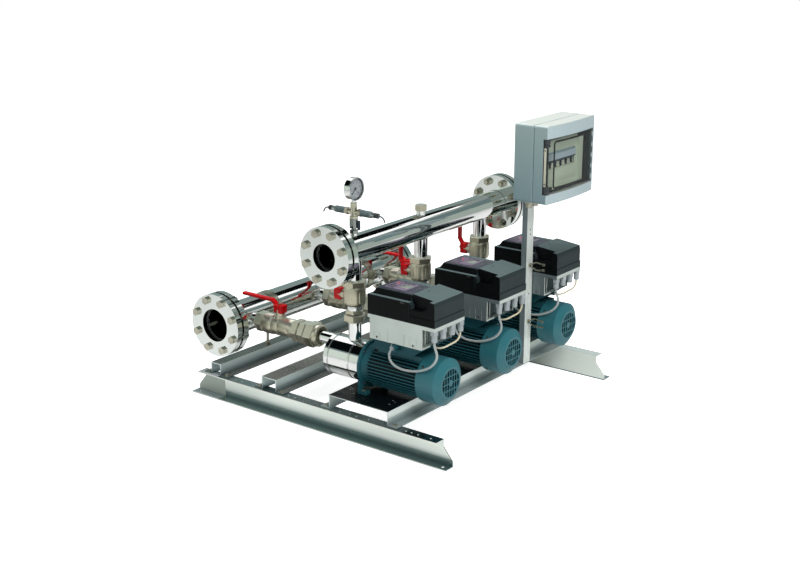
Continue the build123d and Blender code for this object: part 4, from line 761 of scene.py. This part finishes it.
turned(ring, on_gauge(0.0800), right, [
    (0.0, 0.0343), (0.0030, 0.0343), (0.0030, 0.0330), (0.0, 0.0322)], 72, True)
ring.piece("gauge_seal", "pointer_paint", "base", "gasket_rubber")
glass = Build()
turned(glass, on_gauge(0.0832), right, [(0.0, 0.0341), (0.0016, 0.0341), (0.0018, 0.0337)], 72)
glass.piece("gauge_glass", "clear_door", "base", "gauge_glass")


# Panel door, its seal, hinges and grips

drum_x, drum_y, drum_radius = -0.68178, 0.2935, 1.16778


def on_bulge(middle_y, middle_z):
    """Places points on the drum surface that the door and the panel's front follow."""
    def place(u, v, height):
        y = middle_y + u
        x = drum_x + sqrt(drum_radius ** 2 - (y - drum_y) ** 2)
        return Vector((x + height, y, middle_z + v))
    return place


seal = Build()
pad(seal, on_bulge(0.275, 0.825), 0.0974, 0.0804, 0.0124, [
    (-0.0006, 0.0), (0.0015, 0.0), (0.0020, 0.0005), (0.0020, 0.0051), (0.0015, 0.0056),
    (-0.0006, 0.0056)], 12, True)
seal.piece("door_seal", "gasket_rubber", "panel_door")
hinges = Build()
for low, high in ((0.7300, 0.7462), (0.7472, 0.7553), (0.8877, 0.8958), (0.8968, 0.9130)):
    pad(hinges, on_bulge(0.1495, (low + high) / 2), 0.0079, (high - low) / 2, 0.0012, [
        (-0.0085, 0.0), (0.0012, 0.0), (0.0018, 0.0003), (0.0020, 0.0010)], 2)
hinges.piece("door_hinge_covers", "gasket_rubber", "panel_door", "hinge_plastic")
grips = Build()
for index in range(5):
    pad(grips, on_bulge(0.431, 0.730 + (index + 0.5) * 0.0366), 0.0043, 0.0078, 0.0020, [
        (-0.0010, 0.0), (0.0012, 0.0), (0.0018, 0.0003), (0.0021, 0.0012)], 2)
# Painted highlight: the grips take a light grey.
grips.piece("door_grips", "gasket_rubber", "panel_door", "grey_cable")
strip = Build()
strip_place = face((0.4698, 0.1420, 0.8215), right, up)
pad(strip, strip_place, 0.0042, 0.0640, 0.0010, soft(0.0006, 0.0003))
strip.piece("door_strip", "plate_plastic", "panel_door", "strip_plastic")
strip_screws = Build()
for height in (-0.056, 0.056):
    turned(strip_screws, strip_place(0.0, height, 0.0005), (0, -1, 0), pan_head(0.0026, 0.0005), 20)
strip_screws.piece("door_strip_screws", "zinc_fasteners", "panel_door", "dark_screws")

frames = Build()
front_x = 0.456
pad(frames, face((front_x, 0.270, 0.833), ahead, up), 0.0905, 0.0345, 0.004, [
    (-0.0003, 0.0), (0.0005, 0.0), (0.0008, 0.0003), (0.0008, 0.0022), (0.0005, 0.0025),
    (-0.0003, 0.0025)], 1, True)
pad(frames, face((front_x, 0.275, 0.825), ahead, up), 0.0945, 0.0775, 0.011, [
    (-0.0003, 0.0), (0.0008, 0.0), (0.0012, 0.0004), (0.0012, 0.0021), (0.0008, 0.0025),
    (-0.0003, 0.0025)], 1, True)
pad(frames, face((front_x, 0.270, 0.772), ahead, up), 0.080, 0.014, 0.003, soft(0.0006, 0.0003))
frames.piece("plate_frames", "plate_plastic", "base")


# Inverter keypads, screws and clips

keypad_z = 0.5025


def on_keypad(row, x, y):
    """Places points on an inverter's keypad, across from its place in X and Y."""
    return face((x, row + y, keypad_z), right, ahead)


key_places = [(0.2350, -0.030), (0.2350, -0.015), (0.2350, 0.000), (0.2500, -0.030),
              (0.2500, -0.015), (0.2750, 0.028), (0.2900, 0.028), (0.2600, 0.028)]
for number, row in enumerate(pump_rows, start=1):
    for name, x, y, half_x, half_y, corner, sections in (
            ("panel", 0.2670, -0.0010, 0.0430, 0.0390, 0.0060, soft(0.0003, 0.0002)),
            ("band", 0.3315, -0.0070, 0.0175, 0.0480, 0.0015, soft(0.0003, 0.0002)),
            ("display", 0.2860, -0.0020, 0.0175, 0.0180, 0.0020, soft(0.0008, 0.0004))):
        layer = Build()
        pad(layer, on_keypad(row, x, y), half_x, half_y, corner, sections)
        layer.piece(f"keypad_{name}_{number}", "keypad_foil", "base", f"keypad_{name}")
    keys = Build()
    for x, y in key_places:
        pad(keys, on_keypad(row, x, y), 0.0045, 0.0050, 0.0015, soft(0.0009, 0.0004))
    keys.piece(f"keypad_keys_{number}", "keypad_foil", "base", "keypad_band")
    lens = Build()
    turned(lens, (0.2400, row + 0.0140, keypad_z), up, [
        (0.0, 0.0030), (0.0006, 0.0029), (0.0012, 0.0022), (0.0015, 0.0010)], 24)
    lens.piece(f"keypad_lamp_{number}", "keypad_foil", "base", "red_lamp")

    screws = Build()
    for x in (0.226, 0.368):
        for side in (-1, 1):
            turned(screws, (x, row + side * 0.0773, 0.346), (0, side, 0),
                   pan_head(0.0034, 0.0016), 24)
    turned(screws, (0.369, row + 0.001, 0.5029), (0.107, 0, 0.994),
           pan_head(0.0034, 0.0007, 0.55), 24)
    screws.piece(f"inverter_screws_{number}", "zinc_fasteners", "base", "dark_screws")
    clips = Build()
    for side in (-1, 1):
        clip_place = face((0.327, row + side * 0.0795, 0.4775), (-side, 0, 0), up)
        pad(clips, clip_place, 0.0085, 0.0030, 0.0012, soft(0.0012, 0.0006))
    clips.piece(f"cover_clips_{number}", "cover_plastic", "base", "gasket_rubber")


# Motor screws and the casings' weld seams

screws, seams = Build(), Build()
for row in pump_rows:
    for quarter in range(4):
        angle = radians(45 + 90 * quarter)
        outward = Vector((0, sin(angle), cos(angle)))
        axis = Vector((0, row, motor_axis_z))
        turned(screws, axis + Vector((0.153, 0, 0)) + 0.0755 * outward, right,
               pan_head(0.0034, 0.0050, 0.5), 20)
        turned(screws, axis + Vector((0.389, 0, 0)) + 0.0768 * outward, outward,
               pan_head(0.0040, 0.0020), 20)
    for x in (0.010, 0.097):
        turned(seams, (x, row, motor_axis_z), right, [
            (-0.0009, 0.0678), (-0.0005, 0.0683), (0.0005, 0.0683), (0.0009, 0.0678)], 96, True)
screws.piece("motor_screws", "zinc_fasteners", "base", "dark_screws")
seams.piece("casing_seams", "polished_pipe", "base", "dark_screws")


def weld(build, centre, direction, pipe, branch, bead=0.0016, steps=64, sides=8):
    """A rippled bead where a branch of one radius meets a pipe along Y of another."""
    centre, out, axis = Vector(centre), Vector(direction), Vector(ahead)
    path = []
    for step in range(steps):
        angle = 2 * pi * step / steps
        across = axis.cross(out) * cos(angle) + axis * sin(angle)
        depth = sqrt(pipe ** 2 - (branch * cos(angle)) ** 2)
        path.append((centre + branch * across + out * depth, across))
    rings = []
    for step, (point, across) in enumerate(path):
        along = (path[(step + 1) % steps][0] - path[step - 1][0]).normalized()
        upward = along.cross(across).normalized()
        ripple = bead * (1.0 + 0.12 * (step % 2))
        turns = [2 * pi * side / sides for side in range(sides)]
        rings.append([point + ripple * (cos(turn) * across + sin(turn) * upward) for turn in turns])
    build.rings(rings, True)


welds = Build()
for row in pump_rows:
    weld(welds, (riser_x, row, delivery_pipe_z), (0, 0, -1), 0.04445, 0.02415)
    weld(welds, (suction_pipe_x, row, suction_axis_z), right, 0.05715, 0.02415)
welds.piece("branch_welds", "polished_pipe", "base", "flange_steel")


# Delivery valves, suction valves and unions

def hexagon(build, origin, axis, length, across, chamfer=0.0018):
    """A nut-like prism with its corners taken off at both ends."""
    corner = across / sqrt(3)
    turned(build, origin, axis, [
        (0.0, corner - 1.6 * chamfer), (chamfer, corner),
        (length - chamfer, corner), (length, corner - 1.6 * chamfer)], 6)


def on_riser(row, z):
    """A place on a delivery riser's axis."""
    return (riser_x, row, z)


def on_suction(row, x):
    """A place on a suction line's axis."""
    return (x, row, suction_axis_z)


for number, row in enumerate(pump_rows, start=1):
    valve = Build()
    hexagon(valve, on_riser(row, 0.466), up, 0.020, 0.069)
    turned(valve, on_riser(row, 0.403), up, [
        (0.0, 0.0300), (0.0030, 0.0335), (0.0080, 0.0358), (0.0140, 0.0365), (0.0520, 0.0365),
        (0.0580, 0.0352), (0.0640, 0.0330)], 64)
    for index in range(8):
        angle = radians(22.5 + 45.0 * index)
        out = Vector((cos(angle), sin(angle), 0.0))
        rib_place = face(Vector(on_riser(row, 0.433)) + 0.0358 * out,
                         (-sin(angle), cos(angle), 0.0), up)
        pad(valve, rib_place, 0.0022, 0.0180, 0.0010, [
            (-0.0010, 0.0), (0.0012, 0.0), (0.0016, 0.0005)])
    hexagon(valve, on_riser(row, 0.3725), up, 0.0150, 0.0510)
    turned(valve, on_riser(row, delivery_stem_z), (-1, 0, 0), [
        (0.0300, 0.0185), (0.0430, 0.0185), (0.0450, 0.0160), (0.0580, 0.0160)], 40)
    neck = Build()
    turned(neck, on_riser(row, 0.3870), up, [
        (0.0, 0.0245), (0.0050, 0.0245), (0.0056, 0.0262), (0.0110, 0.0262), (0.0165, 0.0250)],
        64)
    line = Build()
    hexagon(line, on_suction(row, -0.354), right, 0.0290, 0.0630, 0.0020)
    turned(line, on_suction(row, -0.327), right, [
        (0.0, 0.0290), (0.0030, 0.0330), (0.0080, 0.0354), (0.0150, 0.0362), (0.0400, 0.0362),
        (0.0460, 0.0352), (0.0488, 0.0336), (0.0500, 0.0322), (0.0515, 0.0322), (0.0525, 0.0336),
        (0.0600, 0.0342), (0.0700, 0.0342), (0.0755, 0.0334), (0.0770, 0.0312), (0.0785, 0.0306),
        (0.0800, 0.0316), (0.0850, 0.0324), (0.1200, 0.0330), (0.1400, 0.0333), (0.1425, 0.0325)],
        64)
    hexagon(line, on_suction(row, -0.1850), right, 0.0265, 0.0700, 0.0024)
    turned(line, on_suction(row, -0.1590), right, [(0.0, 0.0300), (0.0060, 0.0300)], 48)
    turned(line, on_suction(row, suction_stem_x), up, [
        (0.0280, 0.0200), (0.0350, 0.0192), (0.0372, 0.0178), (0.0380, 0.0162), (0.0580, 0.0162)],
        40)
    turned(line, (-0.200, row - 0.0290, suction_axis_z), (0, -1, 0), [
        (0.0, 0.0105), (0.0055, 0.0100), (0.0068, 0.0088), (0.0068, 0.0062)], 32)
    unions = Build()
    hexagon(unions, on_riser(row, 0.3490), up, 0.0236, 0.0645, 0.0024)
    turned(unions, on_riser(row, 0.3440), up, [
        (0.0, 0.0245), (0.0010, 0.0265), (0.0055, 0.0265)], 48)
    hexagon(unions, on_suction(row, -0.1535), right, 0.0265, 0.0700, 0.0024)
    turned(unions, on_suction(row, -0.1275), right, [(0.0, 0.0315), (0.0035, 0.0315)], 48)
    hexagon(unions, on_suction(row, -0.1245), right, 0.0365, 0.0780, 0.0030)
    turned(unions, on_suction(row, -0.0885), right, [
        (0.0, 0.0360), (0.0010, 0.0375), (0.0110, 0.0375), (0.0150, 0.0345), (0.0165, 0.0320),
        (0.0150, 0.0300), (0.0080, 0.0290)], 64)

    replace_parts(valve.piece(f"delivery_valve_{number}", "nickel_brass", "base", angle=28.0),
                "delivery_valve_bodies")
    neck.piece(f"delivery_valve_neck_{number}", "nickel_brass", "base", "polished_pipe")
    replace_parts(line.piece(f"suction_valve_{number}", "nickel_brass", "base", angle=28.0),
                "suction_valve_bodies")
    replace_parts(unions.piece(f"pump_unions_{number}", "nickel_brass", "base", angle=28.0),
                "pump_unions")


# Nuts and skirts on the lever stems

for number, row in enumerate(pump_rows, start=1):
    suction_skirt = face((suction_stem_x, row, 0.3225), right, ahead)
    delivery_skirt = face((0.0135, row, delivery_stem_z), (0, 0, -1), (0, -1, 0))
    for kind, spot, direction, skirt_place in (
            ("suction", (suction_stem_x, row, 0.340), up, suction_skirt),
            ("delivery", (-0.004, row, delivery_stem_z), (-1, 0, 0), delivery_skirt)):
        lever = f"{kind}_lever_{number}"
        nut = Build()
        turned(nut, spot, direction, [
            (0.0002, 0.0074), (0.0009, 0.0079), (0.0064, 0.0079), (0.0072, 0.0072)], 6)
        turned(nut, spot, direction, [(0.0070, 0.0062), (0.0086, 0.0062), (0.0092, 0.0056)], 32)
        nut.piece(f"{kind}_lever_nut_{number}", "zinc_fasteners", lever)
        skirt = Build()
        pad(skirt, skirt_place, 0.0190, 0.0160, 0.0050, [
            (-0.0120, 0.0030), (-0.0110, 0.0010), (-0.0095, 0.0002), (0.0040, 0.0)])
        skirt.piece(f"{kind}_lever_skirt_{number}", "lever_paint", lever)


# Floor, studio and light

def staged(name, points, faces, material):
    """A mesh that belongs to the stage."""
    mesh = bpy.data.meshes.new(name)
    mesh.from_pydata(points, [], faces)
    mesh.materials.append(material)
    obj = bpy.data.objects.new(name, mesh)
    scene.collection.objects.link(obj)
    return obj


def floor_material():
    """Pale matt floor that keeps the object's shadow and fades to the background's white."""
    s = Shader("floor_look", roughness=0.7, colour=(0.82, 0.82, 0.82), edge=None)
    rays = s.add("LightPath").outputs
    seen = s.math("MAXIMUM", rays["Is Camera Ray"], s.times(rays["Is Glossy Ray"], 0.05))
    distance = s.add("VectorMath", {0: s.place}, operation="LENGTH").outputs["Value"]
    fade = s.range(distance, 0.84, 1.0, 0.7, 1.7)
    fade.node.interpolation_type = "SMOOTHSTEP"
    s.set(Emission_Color=(1, 1, 1, 1), Emission_Strength=s.times(seen, fade))
    return s.material


floor_reach = 12
floor_corners = [(x * floor_reach, y * floor_reach, 0)
                 for x, y in ((-1, -1), (1, -1), (1, 1), (-1, 1))]
staged("floor", floor_corners, [(0, 1, 2, 3)], floor_material())


def card(name, azimuths, elevations, tone, distance=5.0, steps=24):
    """A piece of the studio's tent that only shiny surfaces see. Azimuth 0 is +Y and 90 is +X."""
    s = Shader(name, roughness=1.0, colour=(0, 0, 0), edge=None)
    s.material.cycles.emission_sampling = "NONE"
    s.set(Specular_IOR_Level=0.0, Emission_Color=(*tone, 1), Emission_Strength=1.0)
    points, faces = [], []
    for row in range(steps + 1):
        for column in range(steps + 1):
            turn = radians(azimuths[0] + (azimuths[1] - azimuths[0]) * column / steps)
            lift = radians(elevations[0] + (elevations[1] - elevations[0]) * row / steps)
            points.append((distance * sin(turn) * cos(lift), distance * cos(turn) * cos(lift),
                           distance * sin(lift) + 0.3))
            if row < steps and column < steps:
                corner = row * (steps + 1) + column
                faces.append((corner, corner + 1, corner + steps + 2, corner + steps + 1))
    obj = staged(name, points, faces, s.material)
    obj.visible_camera = False
    obj.visible_diffuse = False
    obj.visible_transmission = False
    obj.visible_shadow = False


black, white = (0.002, 0.003, 0.003), (1.3, 1.3, 1.3)
card("tent", (-180, 180), (-4, 90), (0.26, 0.30, 0.29), 6.0)
card("bright_left", (-215, -112), (-3, 25), (0.68, 0.75, 0.68))
card("grey_left", (-215, -112), (25, 30), (0.20, 0.25, 0.25))
card("dark_left", (-150, -92), (30, 58), black)
card("white_above", (-91, -44), (35, 60), white)
card("dark_behind", (-26, -12), (34, 50), black, 4.9)
card("dark_behind_high", (-12, -3), (38, 50), black, 4.9)
card("dark_behind_top", (-3, 9), (43.5, 52), black, 4.9)
card("white_strip", (-3, 7), (38.5, 43.5), white, 4.8)
card("white_strip_far", (9, 27), (39.5, 47), white, 4.8)
card("pale_behind", (-60, -25), (-3, 32), (0.22, 0.30, 0.29))
card("blue_right", (-3, 40), (22, 36), (0.14, 0.20, 0.20))
card("pale_right", (29, 62), (-3, 23), (0.36, 0.42, 0.38))
card("dark_right", (66, 84), (-3, 50), (0.02, 0.025, 0.025))
card("bright_front", (96, 128), (2, 40), (0.50, 0.54, 0.50))


def lamp(name, place, aim, size, power):
    data = bpy.data.lights.new(name, "AREA")
    data.shape = "RECTANGLE"
    data.size, data.size_y = size
    data.energy = power
    obj = bpy.data.objects.new(name, data)
    obj.location = place
    obj.rotation_euler = (Vector(place) - Vector(aim)).to_track_quat("Z", "Y").to_euler()
    obj.visible_glossy = False
    scene.collection.objects.link(obj)


lamp("key", (3.0, -1.6, 3.2), (0.1, 0.0, 0.3), (2.0, 1.6), 95.0)
lamp("top", (0.0, 0.4, 3.6), (0.1, 0.0, 0.3), (2.4, 2.4), 95.0)
lamp("left", (-2.0, -3.2, 1.8), (0.0, 0.0, 0.3), (2.0, 1.4), 8.0)

# The background is white where it is seen, and dimmer where it only lights the scene
world = bpy.data.worlds.new("studio")
world.use_nodes = True
scene.world = world
tree = world.node_tree
rays = add_node(tree, "LightPath").outputs
seen = rays["Is Camera Ray"]
for kind in ("Is Glossy Ray", "Is Transmission Ray"):
    seen = add_node(tree, "Math", {0: seen, 1: rays[kind]}, operation="MAXIMUM").outputs["Value"]
level = add_node(tree, "MapRange", {"Value": seen, "To Min": 0.30, "To Max": 1.0})
background = tree.nodes["Background"].inputs
feed(tree, background["Color"], (1, 1, 1, 1))
feed(tree, background["Strength"], level.outputs["Result"])

bpy.context.view_layer.update()
